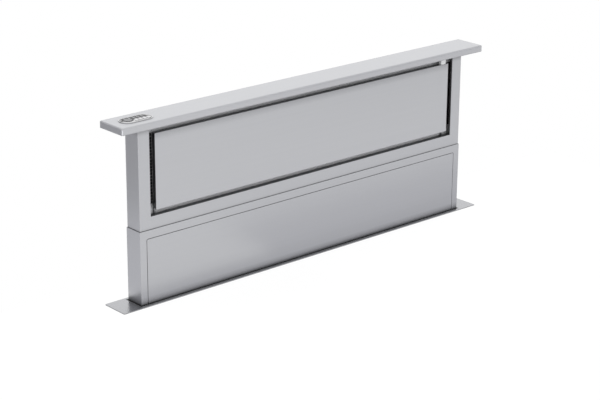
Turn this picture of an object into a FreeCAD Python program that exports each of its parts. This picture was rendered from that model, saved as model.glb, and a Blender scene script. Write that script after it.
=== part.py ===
"""Telescopic downdraft vent for a 36 inch cooktop, drawn raised.

A cap and an upper column with a suction panel slide out of a lower column, and the lower column slides out of
a housing under the worktop. One synchronising shaft with stepped pinions drives both stages: its small
pinions climb racks that stand in the housing, and its large pinions lift racks on the upper column. A
centrifugal blower draws the air down through the columns and blows it out of a round duct collar.

Frame: millimetres, X along the cap, -Y towards the cook, +Z up. The origin is the centre of the worktop
cut-out, at the underside of the worktop plate.
"""
import FreeCAD, Part
import math
import os

import Sketcher

V = FreeCAD.Vector
doc = FreeCAD.newDocument("DowndraftVent")

# ------------------------------------------------------------ sizes

SIZES = [
    ("sheet", "1", "stainless sheet of cap and columns"),
    ("cap_end_overhang", "45", "cap beyond each end of the upper column"),
    ("cap_height", "13", "cap edge"),
    ("cap_front_overhang", "16.5", "cap in front of the upper column"),
    ("cap_back_overhang", "14.5", "cap behind the upper column"),
    ("cap_corner", "3", "upright corners of the cap"),
    ("cap_bullnose", "2.5", "round along the cap's top edge"),
    ("cap_rest_gap", "2.4", "cap above the worktop plate when closed"),
    ("bumper_radius", "5", "rubber bumper under the cap"),
    ("bumper_height", "2", "rubber bumper under the cap"),
    ("rise", "351", "cap top above the worktop plate"),
    ("lower_reveal", "143", "lower column above the worktop plate"),
    ("column_overlap", "60", "upper column left inside the lower one"),
    ("column_length", "824", "upper column along X"),
    ("column_depth", "38", "upper column along Y"),
    ("column_clearance", "0.3", "between the two columns, each side"),
    ("lower_depth_below", "138", "lower column under the worktop"),
    ("window_stile", "25", "column front beside the window"),
    ("window_rail", "24.5", "column front between the window and the lower column"),
    ("window_header", "5", "column front above the window"),
    ("window_lip", "4", "flange folded in round the window"),
    ("panel_side_gap", "12.5", "suction gap at each end of the panel"),
    ("panel_bottom_gap", "10.5", "suction gap under the panel"),
    ("panel_top_gap", "15", "suction gap between panel and cap"),
    ("panel_return", "8", "edges of the panel folded back"),
    ("hinge_inset", "8.5", "panel hinges from the panel's ends"),
    ("hinge_pin_radius", "2", "panel hinge pin"),
    ("hinge_back", "6", "hinge axis behind the panel's face"),
    ("hinge_up", "4.5", "hinge axis above the panel's bottom edge"),
    ("hinge_lug", "3", "thickness of hinge lugs"),
    ("running_clearance", "0.05", "shafts and pins in their bores"),
    ("fit_clearance", "0.02", "round pieces fixed in their holes"),
    ("catch_inset", "13.5", "panel catch from the panel's right end"),
    ("catch_width", "13", "panel catch along X"),
    ("catch_depth", "6", "panel catch along Y"),
    ("filter_depth", "9", "filter cassette"),
    ("filter_frame", "8", "filter frame face"),
    ("filter_gap", "1", "between neighbouring filters"),
    ("filter_back", "4", "back of the filters behind the column's middle"),
    ("mesh_depth", "5", "filter mesh pack"),
    ("rail_lip", "6", "lip of the filter rails"),
    ("access_stile", "14.7", "lower column beside its front panel"),
    ("access_rail", "16", "lower column above its front panel"),
    ("access_seam", "0.9", "seam round the lower front panel"),
    ("access_corner", "3", "top corners of the lower front panel"),
    ("plate_end_border", "43.2", "worktop plate beyond the ends of its slot"),
    ("plate_side_border", "6.7", "worktop plate in front of and behind its slot"),
    ("plate_thickness", "1.5", "worktop plate"),
    ("plate_corner", "2", "corners of the worktop plate"),
    ("slot_gap", "3", "plate slot round the lower column"),
    ("collar_drop", "20", "collar turned down round the slot"),
    ("seal_height", "4", "lip seal in the slot"),
    ("seal_clearance", "0.3", "lip seal to the lower column"),
    ("seal_joint", "0.2", "play between the strips of the lip seal"),
    ("housing_height", "515", "worktop plate to housing floor"),
    ("housing_lap", "12", "housing over the collar"),
    ("pad_width", "14", "nylon guide pad along X or Y"),
    ("pad_height", "30", "nylon guide pad along Z"),
    ("gear_module", "1.5", "pinions and racks"),
    ("small_teeth", "11", "pinion on the housing rack"),
    ("large_teeth", "15", "pinion on the upper column's rack"),
    ("pressure_angle", "25", "pinions and racks"),
    ("tooth_addendum", "0.8", "share of the module"),
    ("tooth_dedendum", "1.05", "share of the module"),
    ("tooth_play", "0.2", "play in the mesh"),
    ("gear_width", "8", "pinions and racks along X"),
    ("gear_spacing", "4", "between a small and a large pinion"),
    ("rack_end_gap", "5", "upper rack to the column's side"),
    ("rack_run_out", "14", "rack beyond the last mesh"),
    ("leg_seat", "60", "rack leg fixed inside the upper column"),
    ("post_back", "17.5", "back of the housing racks behind the middle"),
    ("post_web_gap", "6", "housing rack's web below the closed lower column"),
    ("shaft_radius", "4", "synchronising shaft"),
    ("shaft_drop", "18", "shaft below the lower column"),
    ("cross_height", "20", "cross member"),
    ("cross_depth", "12", "cross member"),
    ("cross_sheet", "2", "cross member and bearing brackets"),
    ("bush_wall", "2", "shaft bush"),
    ("bush_length", "7", "shaft bush"),
    ("bracket_width", "20", "bearing bracket along Y"),
    ("gearbox_length", "28", "lift gearbox along X"),
    ("gearbox_radius", "17", "round ends of the lift gearbox"),
    ("motor_drop", "35", "lift motor below the shaft"),
    ("motor_radius", "16", "lift motor"),
    ("motor_length", "85", "lift motor"),
    ("blower_drop", "372", "blower axis below the worktop"),
    ("blower_depth", "108", "blower casing along Y"),
    ("blower_sheet", "1", "blower casing"),
    ("volute_radius", "110", "first arc of the volute"),
    ("volute_step", "18", "growth of each volute arc"),
    ("tongue_angle", "60", "volute tongue below the horizontal"),
    ("outlet_drop", "196", "blower axis to the casing's outlet"),
    ("inlet_radius", "76", "blower inlet"),
    ("inlet_lip", "5", "inlet ring rolled into the impeller"),
    ("inlet_opening", "154", "square opening in the housing's front"),
    ("impeller_radius", "94", "impeller"),
    ("impeller_eye", "78", "inside of the impeller's blades"),
    ("impeller_width", "82", "impeller along Y"),
    ("impeller_gap", "9", "impeller to the inlet wall"),
    ("blade_count", "30", "impeller blades"),
    ("blade_sheet", "1.2", "impeller blade"),
    ("blade_angle", "7", "between a blade's inner and outer edge"),
    ("hub_radius", "11", "shaft hole in the blower's front plate"),
    ("blower_shaft_radius", "4", "blower shaft"),
    ("blower_motor_radius", "52", "blower motor"),
    ("blower_motor_length", "62", "blower motor"),
    ("duct_radius", "74.5", "round duct collar, outside"),
    ("duct_length", "40", "straight part of the duct collar"),
    ("transition_height", "45", "square to round part of the collar"),
    ("flap_clearance", "1.2", "damper flap to the duct collar"),
    ("flap_pin_radius", "2", "damper pin"),
    ("box_length", "150", "control box along X"),
    ("box_depth", "55", "control box along Y"),
    ("box_height", "95", "control box along Z"),
    ("box_inset", "43.3", "control box from the housing's right end"),
    ("box_drop", "150", "control box below the worktop"),
    ("gland_radius", "9", "cable gland"),
    ("bracket_leg", "26", "side bracket legs"),
    ("bracket_height", "240", "side bracket"),
    ("bracket_drop", "150", "side bracket's top below the worktop"),
    ("bracket_slots", "200", "between the slots of a side bracket"),
    ("slot_radius", "3", "half width of a bracket slot"),
    ("slot_length", "14", "bracket slot, end to end"),
    ("pad_inset", "21", "control pad from the cap's left end"),
    ("pad_length", "66", "control pad along X"),
    ("pad_depth", "32", "control pad along Y"),
    ("pad_rise", "1.2", "control pad above the cap"),
    ("pad_shift", "0.5", "control pad towards the front"),
    ("round_button", "8", "radius of the round button"),
    ("key_length", "7", "key along X"),
    ("key_depth", "8", "key along Y"),
    ("key_pitch", "9", "between keys"),
    ("key_rise", "0.6", "buttons above the control pad"),
    ("key_clearance", "0.25", "buttons in their holes"),
    ("board_thickness", "1.6", "control board"),
    ("screw_radius", "2", "screws"),
    ("screw_head", "3.6", "screw head radius"),
    ("screw_rise", "2", "screw head height"),
    ("screw_tail", "2", "screw beyond the sheets it joins"),
    ("screw_inset", "58.3", "outer housing screws from the housing's ends"),
    ("cap_screw_inset", "62", "outer cap screws from the column's ends"),
    ("seam", "0.3", "play between fixed flush pieces"),
    ("head_thickness", "1.5", "plate across the column's top"),
    ("bumper_inset", "23", "bumpers from the cap's ends"),
    ("pad_corner", "14", "corners of the control pad"),
    ("pad_border", "4", "control pad round its hole in the cap"),
    ("key_border", "5.5", "between the keys and the pad's edge"),
    ("key_lip", "0.8", "lip that keeps a button in"),
    ("key_foot", "1.6", "button below the bezel"),
    ("key_gap", "0.1", "button lip under the bezel"),
    ("inlay_depth", "0.6", "inlay in the control pad"),
    ("inlay_length", "34", "inlay along X"),
    ("inlay_gap", "2.5", "between the keys and the inlay"),
    ("board_drop", "3", "control board under the cap's top"),
    ("board_post", "2", "post under the control board"),
    ("post_inset", "4", "posts from the board's corners"),
    ("hinge_eye", "3.8", "radius round a hinge pin"),
    ("hinge_neck", "3.5", "upright arm of a hinge bracket"),
    ("lug_gap", "0.5", "between hinge lugs"),
    ("catch_height", "9", "panel catch"),
    ("filter_play", "0.5", "filters in their rails"),
    ("filter_lift", "7", "filters lift by this to come out"),
    ("rail_drop", "14", "lip of the upper filter rail"),
    ("filter_overlap", "4", "filters beyond the window's sides"),
    ("rail_sink", "4", "filters start below the window"),
    ("seal_sink", "0.5", "lip seal below the plate's top"),
    ("guide_inset", "73.3", "guide pads from the lower column's ends"),
    ("bracket_set_back", "4", "side bracket inside the housing's back"),
    ("motor_round", "3", "edge of the motor cans"),
    ("motor_flange", "8", "blower motor's flange"),
    ("hub_length", "24", "impeller hub"),
    ("shaft_seat", "20", "blower shaft inside its motor"),
    ("flap_drop", "16.2", "damper pin under the top of the collar's round part"),
    ("flap_boss_inset", "4", "flap's tube from its rim"),
    ("flap_pin_short", "0.3", "damper pin's riveted end under the collar's outside"),
    ("gland_wall", "3", "cable gland"),
    ("gland_reach", "10", "cable gland each side of the wall"),
    ("blade_clear", "0.5", "blades inside the impeller's rim"),
    ("blade_bow", "0.3", "share of the lean at the middle of a blade"),
    ("hub_wall", "5", "impeller hub round its shaft"),
    ("flap_tube_wall", "1.5", "flap's tube round its pin"),
]

PLACES = [
    ("plate_top", "Size.plate_thickness"),
    ("seam", "plate_top + Size.lower_reveal"),
    ("cap_top", "plate_top + Size.rise"),
    ("cap_under", "cap_top - Size.cap_height"),
    ("upper_low", "seam - Size.column_overlap"),
    ("upper_x", "Size.column_length / 2"),
    ("upper_y", "Size.column_depth / 2"),
    ("lower_x", "upper_x + Size.column_clearance + Size.sheet"),
    ("lower_y", "upper_y + Size.column_clearance + Size.sheet"),
    ("lower_low", "-Size.lower_depth_below"),
    ("slot_x", "lower_x + Size.slot_gap"),
    ("slot_y", "lower_y + Size.slot_gap"),
    ("housing_x", "slot_x + Size.sheet"),
    ("housing_y", "slot_y + Size.sheet"),
    ("outer_x", "housing_x + Size.sheet"),
    ("outer_y", "housing_y + Size.sheet"),
    ("cap_x", "upper_x + Size.cap_end_overhang"),
    ("cap_front", "-upper_y - Size.cap_front_overhang"),
    ("cap_back", "upper_y + Size.cap_back_overhang"),
    ("cap_screw_x", "upper_x - Size.cap_screw_inset"),
    ("bumper_x", "cap_x - Size.bumper_inset"),
    ("plate_x", "slot_x + Size.plate_end_border"),
    ("plate_y", "slot_y + Size.plate_side_border"),
    ("window_x", "upper_x - Size.window_stile"),
    ("window_low", "seam + Size.window_rail"),
    ("window_high", "cap_under - Size.window_header"),
    ("panel_x", "window_x - Size.panel_side_gap"),
    ("panel_low", "window_low + Size.panel_bottom_gap"),
    ("panel_high", "cap_under - Size.panel_top_gap"),
    ("catch_x", "panel_x - Size.catch_inset"),
    ("hinge_x", "panel_x - Size.hinge_inset"),
    ("hinge_y", "-upper_y + Size.hinge_back"),
    ("hinge_z", "panel_low + Size.hinge_up"),
    ("filter_front", "Size.filter_back - Size.filter_depth"),
    ("access_x", "lower_x - Size.access_stile - Size.access_seam"),
    ("access_high", "seam - Size.access_rail - Size.access_seam"),
    ("small_pitch", "Size.gear_module * Size.small_teeth / 2"),
    ("large_pitch", "Size.gear_module * Size.large_teeth / 2"),
    ("travel", "cap_under - plate_top - Size.cap_rest_gap"),
    ("lower_travel", "travel * Size.small_teeth / (Size.small_teeth + Size.large_teeth)"),
    ("upper_travel", "travel - lower_travel"),
    ("shaft_z", "lower_low - Size.shaft_drop"),
    ("large_gear_x", "upper_x - Size.sheet - Size.rack_end_gap - Size.gear_width"),
    ("small_gear_x", "large_gear_x - Size.gear_spacing - Size.gear_width"),
    ("bearing_x", "small_gear_x - Size.gear_spacing - Size.bush_length"),
    ("leg_low", "shaft_z - Size.rack_run_out"),
    ("leg_teeth_high", "shaft_z + upper_travel + Size.rack_run_out"),
    ("leg_high", "upper_low + Size.leg_seat"),
    ("post_high", "shaft_z + Size.rack_run_out"),
    ("post_teeth_low", "shaft_z - lower_travel - Size.rack_run_out"),
    ("floor", "-Size.housing_height"),
    ("blower_z", "-Size.blower_drop"),
    ("blower_back", "-outer_y"),
    ("blower_front", "blower_back - Size.blower_depth"),
    ("impeller_back", "blower_back - Size.impeller_gap"),
    ("impeller_front", "impeller_back - Size.impeller_width"),
    ("outlet_z", "blower_z - Size.outlet_drop"),
    ("outlet_in", "Size.volute_radius * cos(Size.tongue_angle) - Size.volute_step / 2"),
    ("outlet_out", "Size.volute_radius + 2.5 * Size.volute_step"),
    ("duct_x", "(outlet_in + outlet_out) / 2"),
    ("duct_y", "(blower_back + blower_front) / 2"),
    ("duct_top", "outlet_z - Size.transition_height"),
    ("duct_low", "duct_top - Size.duct_length"),
    ("pad_x", "Size.pad_inset + Size.pad_length / 2 - cap_x"),
    ("pad_y", "(cap_front + cap_back) / 2 - Size.pad_shift"),
    ("pad_top", "cap_top + Size.pad_rise"),
    ("inlay_left", "pad_x + Size.pad_length / 2 - Size.pad_border - Size.inlay_length"),
    ("board_top", "cap_top - Size.sheet - Size.board_drop"),
    ("head_low", "cap_under - Size.head_thickness"),
    ("filter_low", "window_low - Size.rail_sink"),
    ("filter_high", "head_low - Size.sheet - Size.filter_lift"),
    ("filter_x", "window_x + Size.filter_overlap"),
    ("housing_top", "-Size.collar_drop + Size.housing_lap"),
    ("housing_screw_x", "outer_x - Size.screw_inset"),
    ("guide_x", "lower_x - Size.guide_inset"),
    ("box_x", "outer_x - Size.box_inset - Size.box_length / 2"),
    ("bracket_back", "outer_y - Size.bracket_set_back"),
    ("slot_place", "outer_x + (Size.bracket_leg + Size.cross_sheet) / 2"),
    ("flap_z", "duct_top - Size.flap_drop"),
]


def fill_sheet(label, rows, formula):
    """One sheet, a row for each value: its name, the value with that name as alias, and what it is."""
    sheet = doc.addObject("Spreadsheet::Sheet", label)
    for line, row in enumerate(rows, 1):
        sheet.set(f"A{line}", row[0])
        sheet.set(f"B{line}", "=" + row[1] if formula else row[1])
        sheet.setAlias(f"B{line}", row[0])
        if len(row) > 2:
            sheet.set(f"C{line}", row[2])
    doc.recompute()
    return sheet


size_sheet = fill_sheet("Size", SIZES, False)
fill_sheet("Place", PLACES, True)


def value(expression):
    """The number that an expression over the two sheets gives now."""
    number = size_sheet.evalExpression(str(expression))
    return float(getattr(number, "Value", number))


# ------------------------------------------------------------ drawing helpers


SUBPARTS = []


def piece(name):
    """A body that becomes one sub-part."""
    body = doc.addObject("PartDesign::Body", name)
    body.Label = name
    body.AllowCompound = True
    SUBPARTS.append(body)
    return body


def origin_plane(body, role):
    return [plane for plane in body.Origin.OriginFeatures if plane.Role == role][0]


def outline(sketch, corners):
    """A closed run of straight lines whose corners are bound to expressions."""
    first = sketch.GeometryCount
    places = [(value(x), value(y)) for x, y in corners]
    for corner, place in enumerate(places):
        after = places[(corner + 1) % len(places)]
        sketch.addGeometry(Part.LineSegment(V(*place, 0), V(*after, 0)))
    for corner in range(len(places)):
        joint = (first + corner, 2, first + (corner + 1) % len(places), 1)
        sketch.addConstraint(Sketcher.Constraint("Coincident", *joint))
        for axis, kind in enumerate(("DistanceX", "DistanceY")):
            rule = Sketcher.Constraint(kind, -1, 1, first + corner, 1, places[corner][axis])
            number = sketch.addConstraint(rule)
            sketch.setExpression(f"Constraints[{number}]", str(corners[corner][axis]))


def rectangle(sketch, left, right, low, high):
    outline(sketch, [(left, low), (right, low), (right, high), (left, high)])


def rounded(sketch, left, right, low, high, radius):
    """A rectangle with four round corners, each side's line bound to its own place."""
    first = sketch.GeometryCount
    x0, x1, y0, y1, r = (value(side) for side in (left, right, low, high, radius))
    sketch.addGeometry(Part.LineSegment(V(x0 + r, y0, 0), V(x1 - r, y0, 0)))
    sketch.addGeometry(Part.LineSegment(V(x1, y0 + r, 0), V(x1, y1 - r, 0)))
    sketch.addGeometry(Part.LineSegment(V(x1 - r, y1, 0), V(x0 + r, y1, 0)))
    sketch.addGeometry(Part.LineSegment(V(x0, y1 - r, 0), V(x0, y0 + r, 0)))
    quarter = math.pi / 2
    centres = [(x1 - r, y0 + r), (x1 - r, y1 - r), (x0 + r, y1 - r), (x0 + r, y0 + r)]
    for corner, (x, y) in enumerate(centres):
        round_corner = Part.Circle(V(x, y, 0), V(0, 0, 1), r)
        start = (corner - 1) * quarter
        sketch.addGeometry(Part.ArcOfCircle(round_corner, start, start + quarter))
    for side in range(4):
        arc = first + 4 + side
        sketch.addConstraint(Sketcher.Constraint("Tangent", first + side, 2, arc, 1))
        sketch.addConstraint(Sketcher.Constraint("Tangent", arc, 2, first + (side + 1) % 4, 1))
        if side:
            sketch.addConstraint(Sketcher.Constraint("Equal", first + 4, arc))
    sketch.addConstraint(Sketcher.Constraint("Horizontal", first))
    rules = [
        ("DistanceY", 0, y0, low),
        ("DistanceX", 1, x1, right),
        ("DistanceY", 2, y1, high),
        ("DistanceX", 3, x0, left),
    ]
    for kind, side, place, text in rules:
        number = sketch.addConstraint(Sketcher.Constraint(kind, -1, 1, first + side, 1, place))
        sketch.setExpression(f"Constraints[{number}]", str(text))
    number = sketch.addConstraint(Sketcher.Constraint("Radius", first + 4, r))
    sketch.setExpression(f"Constraints[{number}]", str(radius))


def circle(sketch, x, y, radius):
    number = sketch.addGeometry(Part.Circle(V(value(x), value(y), 0), V(0, 0, 1), value(radius)))
    for kind, text in (("DistanceX", x), ("DistanceY", y)):
        rule = sketch.addConstraint(Sketcher.Constraint(kind, -1, 1, number, 3, value(text)))
        sketch.setExpression(f"Constraints[{rule}]", str(text))
    rule = sketch.addConstraint(Sketcher.Constraint("Radius", number, value(radius)))
    sketch.setExpression(f"Constraints[{rule}]", str(radius))


def slotted(sketch, x, y, length, radius):
    """A straight slot along the sketch's first axis, centred on a point."""
    first = sketch.GeometryCount
    cx, cy, r = value(x), value(y), value(radius)
    half = value(length) / 2 - r
    sketch.addGeometry(Part.LineSegment(V(cx - half, cy - r, 0), V(cx + half, cy - r, 0)))
    sketch.addGeometry(Part.LineSegment(V(cx + half, cy + r, 0), V(cx - half, cy + r, 0)))
    quarter = math.pi / 2
    for centre, start in ((cx + half, -quarter), (cx - half, quarter)):
        end = Part.Circle(V(centre, cy, 0), V(0, 0, 1), r)
        sketch.addGeometry(Part.ArcOfCircle(end, start, start + math.pi))
    low, high, right, left = range(first, first + 4)
    for one, two in ((low, right), (right, high), (high, left), (left, low)):
        sketch.addConstraint(Sketcher.Constraint("Tangent", one, 2, two, 1))
    sketch.addConstraint(Sketcher.Constraint("Horizontal", low))
    reach = f"({length}) / 2 - ({radius})"
    rules = [
        ("DistanceX", right, cx + half, f"{x} + {reach}"),
        ("DistanceX", left, cx - half, f"{x} - ({reach})"),
        ("DistanceY", right, cy, str(y)),
    ]
    for kind, arc, place, text in rules:
        number = sketch.addConstraint(Sketcher.Constraint(kind, -1, 1, arc, 3, place))
        sketch.setExpression(f"Constraints[{number}]", text)
    number = sketch.addConstraint(Sketcher.Constraint("Radius", right, r))
    sketch.setExpression(f"Constraints[{number}]", str(radius))


def draw(body, role, start, *shapes):
    """A sketch on an origin plane, moved by start along its normal; a shape is (function, *sizes)."""
    sketch = body.newObject("Sketcher::SketchObject", body.Name + "_sketch")
    sketch.AttachmentSupport = [(origin_plane(body, role), "")]
    sketch.MapMode = "FlatFace"
    sketch.setExpression("AttachmentOffset.Base.z", str(start))
    for function, *sizes in shapes:
        function(sketch, *sizes)
    return sketch


def pad(body, role, start, length, *shapes):
    """Adds what the shapes enclose, from start over length along the plane's normal."""
    feature = body.newObject("PartDesign::Pad", body.Name + "_pad")
    feature.Profile = draw(body, role, start, *shapes)
    feature.setExpression("Length", str(length))
    doc.recompute()
    return feature


def cut(body, role, start, length, *shapes):
    """Takes the shapes out of the body, over the same stretch as pad; it must remove something."""
    before = body.Shape.Volume
    feature = body.newObject("PartDesign::Pocket", body.Name + "_pocket")
    feature.Profile = draw(body, role, start, *shapes)
    feature.Reversed = True
    feature.setExpression("Length", str(length))
    doc.recompute()
    if not body.Shape.Volume < before:
        raise ValueError(f"a pocket in {body.Label} cuts nothing")
    return feature


def turn(body, *corners):
    """A revolution about the body's own Z axis of an outline of radii and heights."""
    feature = body.newObject("PartDesign::Revolution", body.Name + "_turn")
    feature.Profile = draw(body, "XZ_Plane", 0, (outline, list(corners)))
    feature.ReferenceAxis = (feature.Profile[0], ["V_Axis"])
    feature.Angle = 360
    doc.recompute()
    return feature


def repeat(body, features, role, spacing, count):
    """A row of copies along the normal of an origin plane."""
    feature = body.newObject("PartDesign::LinearPattern", body.Name + "_row")
    feature.Originals = features
    feature.Direction = (origin_plane(body, role), [""])
    feature.Mode = "Spacing"
    feature.setExpression("Offset", str(spacing))
    feature.setExpression("Occurrences", str(count))
    body.Tip = feature
    doc.recompute()
    return feature


def round_edges(body, radius, chosen):
    """A fillet on the edges for which chosen(middle, direction) holds."""
    names = []
    for number, edge in enumerate(body.Shape.Edges, 1):
        middle = edge.valueAt((edge.FirstParameter + edge.LastParameter) / 2)
        if chosen(middle, edge.tangentAt(edge.FirstParameter)):
            names.append(f"Edge{number}")
    solid = body.Tip
    feature = body.newObject("PartDesign::Fillet", body.Name + "_fillet")
    feature.Base = (solid, names)
    feature.setExpression("Radius", str(radius))
    doc.recompute()
    return feature


def place(item, x=0, y=0, z=0):
    for axis, text in zip("xyz", (x, y, z)):
        item.setExpression(f"Placement.Base.{axis}", str(text))
    doc.recompute()


def made(name, shape):
    """A sub-part whose form comes from a formula."""
    item = doc.addObject("Part::Feature", name)
    item.Label = name
    item.Shape = shape
    SUBPARTS.append(item)
    return item


# ------------------------------------------------------------ cap

CAP_SIDES = ("-Place.cap_x", "Place.cap_x", "Place.cap_front", "Place.cap_back")


def inset(sides, wall):
    """The same rectangle with each side moved in by a wall."""
    return (f"{sides[0]} + {wall}", f"{sides[1]} - {wall}", f"{sides[2]} + {wall}", f"{sides[3]} - {wall}")


def cap():
    """Folded pan, open below, with a hole under the control pad."""
    body = piece("cap")
    pad(body, "XY_Plane", 0, "Size.cap_height", (rounded, *CAP_SIDES, "Size.cap_corner"))
    top = value("Size.cap_height")
    round_edges(body, "Size.cap_bullnose", lambda middle, way: middle.z > top - 0.01)
    inside = (rounded, *inset(CAP_SIDES, "Size.sheet"), "Size.cap_corner - Size.sheet")
    cut(body, "XY_Plane", "-Size.sheet", "Size.cap_height", inside)
    cut(body, "XY_Plane", 0, "Size.cap_height + 1", (rectangle, *inset(PAD_SIDES, "Size.pad_border")))
    place(body, 0, 0, "Place.cap_under")


def cap_underplate():
    """Flat plate that closes the cap from below and sits on the column."""
    body = piece("cap_underplate")
    sides = inset(CAP_SIDES, "(Size.sheet + Size.seam)")
    pad(body, "XY_Plane", 0, "Size.sheet", (rounded, *sides, "Size.cap_corner - Size.sheet"))
    cut(body, "XY_Plane", "-Size.sheet", "Size.sheet * 3", *cap_screw_circles("Size.screw_radius"))
    place(body, 0, 0, "Place.cap_under")


def cap_screw_circles(radius):
    """Screws down through the underplate into the column's head, in two rows of three."""
    rows = ("-(Place.upper_y - Size.sheet) / 2", "(Place.upper_y - Size.sheet) / 2")
    columns = ("-Place.cap_screw_x", "0", "Place.cap_screw_x")
    return [(circle, x, y, radius) for x in columns for y in rows]


def cap_screws():
    body = piece("cap_screws")
    thread = "Size.screw_radius - Size.fit_clearance"
    length = "Size.sheet + Size.head_thickness + Size.screw_tail"
    pad(body, "XY_Plane", f"Size.sheet - ({length})", length, *cap_screw_circles(thread))
    pad(body, "XY_Plane", "Size.sheet", "Size.screw_rise", *cap_screw_circles("Size.screw_head"))
    place(body, 0, 0, "Place.cap_under")


def cap_bumpers():
    """Rubber buttons that meet the worktop plate when the vent is closed."""
    body = piece("cap_bumpers")
    spots = [(circle, x, "0", "Size.bumper_radius") for x in ("-Place.bumper_x", "Place.bumper_x")]
    pad(body, "XY_Plane", "-Size.bumper_height", "Size.bumper_height", *spots)
    place(body, 0, 0, "Place.cap_under")


# ------------------------------------------------------------ control pad

PAD_SIDES = (
    "Place.pad_x - Size.pad_length / 2",
    "Place.pad_x + Size.pad_length / 2",
    "Place.pad_y - Size.pad_depth / 2",
    "Place.pad_y + Size.pad_depth / 2",
)
ROUND_BUTTON = ("Place.pad_x - Size.pad_length / 2 + Size.pad_depth / 2", "Place.pad_y")
KEYS = ["raise_key", "lower_key", "faster_key", "slower_key"]
INLAY_SIDES = (
    "Place.inlay_left",
    f"{PAD_SIDES[1]} - Size.pad_border",
    f"{PAD_SIDES[2]} + Size.key_border + Size.key_depth + Size.inlay_gap",
    f"{PAD_SIDES[3]} - Size.pad_border",
)


def key_sides(number, clearance):
    """The rectangle of one key, counted from the pad's right end."""
    right = f"{PAD_SIDES[1]} - Size.key_border - {number} * Size.key_pitch + {clearance}"
    front = f"{PAD_SIDES[2]} + Size.key_border - {clearance}"
    return (
        f"{right} - Size.key_length - 2 * {clearance}",
        right,
        front,
        f"{front} + Size.key_depth + 2 * {clearance}",
    )


def control_bezel():
    """Pad with holes for the buttons and a recess for the inlay."""
    body = piece("control_bezel")
    pad(body, "XY_Plane", 0, "Size.pad_rise", (rounded, *PAD_SIDES, "Size.pad_corner"))
    holes = [(rectangle, *key_sides(number, "Size.key_clearance")) for number in range(len(KEYS))]
    holes.append((circle, *ROUND_BUTTON, "Size.round_button + Size.key_clearance"))
    cut(body, "XY_Plane", "-Size.pad_rise", "Size.pad_rise * 3", *holes)
    cut(body, "XY_Plane", "Size.pad_rise - Size.inlay_depth", "Size.pad_rise", (rectangle, *INLAY_SIDES))
    place(body, 0, 0, "Place.cap_top")


def pad_inlay():
    body = piece("pad_inlay")
    pad(body, "XY_Plane", 0, "Size.inlay_depth", (rectangle, *INLAY_SIDES))
    place(body, 0, 0, "Place.pad_top - Size.inlay_depth")


def button(name, shape, flange):
    """A button that stands a little over the pad, with a lip under the bezel that keeps it in."""
    body = piece(name)
    stem = "Size.pad_rise + Size.key_rise + Size.key_foot"
    pad(body, "XY_Plane", "-Size.key_foot", stem, shape)
    pad(body, "XY_Plane", "-Size.key_foot", "Size.key_foot - Size.key_gap", flange)
    place(body, 0, 0, "Place.cap_top")


def buttons():
    lip = "Size.round_button + Size.key_lip"
    button("power_button", (circle, *ROUND_BUTTON, "Size.round_button"), (circle, *ROUND_BUTTON, lip))
    for number, name in enumerate(KEYS):
        shape = (rectangle, *key_sides(number, "0"))
        button(name, shape, (rectangle, *key_sides(number, "Size.key_lip")))


def control_board():
    """Board with its switches under the buttons, on posts from the underplate."""
    body = piece("control_board")
    sides = inset(PAD_SIDES, "Size.pad_border")
    pad(body, "XY_Plane", "-Size.board_thickness", "Size.board_thickness", (rectangle, *sides))
    posts = []
    for x in (f"{sides[0]} + Size.post_inset", f"{sides[1]} - Size.post_inset"):
        for y in (f"{sides[2]} + Size.post_inset", f"{sides[3]} - Size.post_inset"):
            posts.append((circle, x, y, "Size.board_post"))
    drop = "Place.board_top - Place.cap_under - Size.sheet"
    pad(body, "XY_Plane", f"-({drop})", f"{drop} - Size.board_thickness", *posts)
    place(body, 0, 0, "Place.board_top")


# ------------------------------------------------------------ upper column


def three_sides(x, y, wall, back):
    """Section of a sheet folded round three sides; back is where the side walls end."""
    return [
        (f"-{x}", back),
        (f"-{x}", f"-{y}"),
        (x, f"-{y}"),
        (x, back),
        (f"{x} - {wall}", back),
        (f"{x} - {wall}", f"-{y} + {wall}"),
        (f"-{x} + {wall}", f"-{y} + {wall}"),
        (f"-{x} + {wall}", back),
    ]


def upper_skin():
    """Front and ends of the upper column, with the window."""
    body = piece("upper_skin")
    height = "Place.cap_under - Place.upper_low"
    back = "Place.upper_y - Size.sheet"
    section = three_sides("Place.upper_x", "Place.upper_y", "Size.sheet", back)
    pad(body, "XY_Plane", 0, height, (outline, section))
    low = "Place.window_low - Place.upper_low"
    high = "Place.window_high - Place.upper_low"
    window = (rectangle, "-Place.window_x", "Place.window_x", low, high)
    cut(body, "XZ_Plane", "Place.upper_y - 2 * Size.sheet", "3 * Size.sheet", window)
    place(body, 0, 0, "Place.upper_low")


def window_lip():
    """Strip bent round the window's ends and top, spot-welded behind the column's front."""
    body = piece("window_lip")
    high = "Place.window_high - Place.window_low"
    outer = "(Place.window_x + Size.sheet)"
    lip = [
        ("-Place.window_x", "0"),
        ("-Place.window_x", high),
        ("Place.window_x", high),
        ("Place.window_x", "0"),
        (outer, "0"),
        (outer, f"{high} + Size.sheet"),
        (f"-{outer}", f"{high} + Size.sheet"),
        (f"-{outer}", "0"),
    ]
    pad(body, "XZ_Plane", "Place.upper_y - Size.sheet - Size.window_lip", "Size.window_lip", (outline, lip))
    place(body, 0, 0, "Place.window_low")


def upper_back():
    body = piece("upper_back")
    sides = ("-Place.upper_x", "Place.upper_x", "Place.upper_y - Size.sheet", "Place.upper_y")
    pad(body, "XY_Plane", 0, "Place.cap_under - Place.upper_low", (rectangle, *sides))
    place(body, 0, 0, "Place.upper_low")


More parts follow.
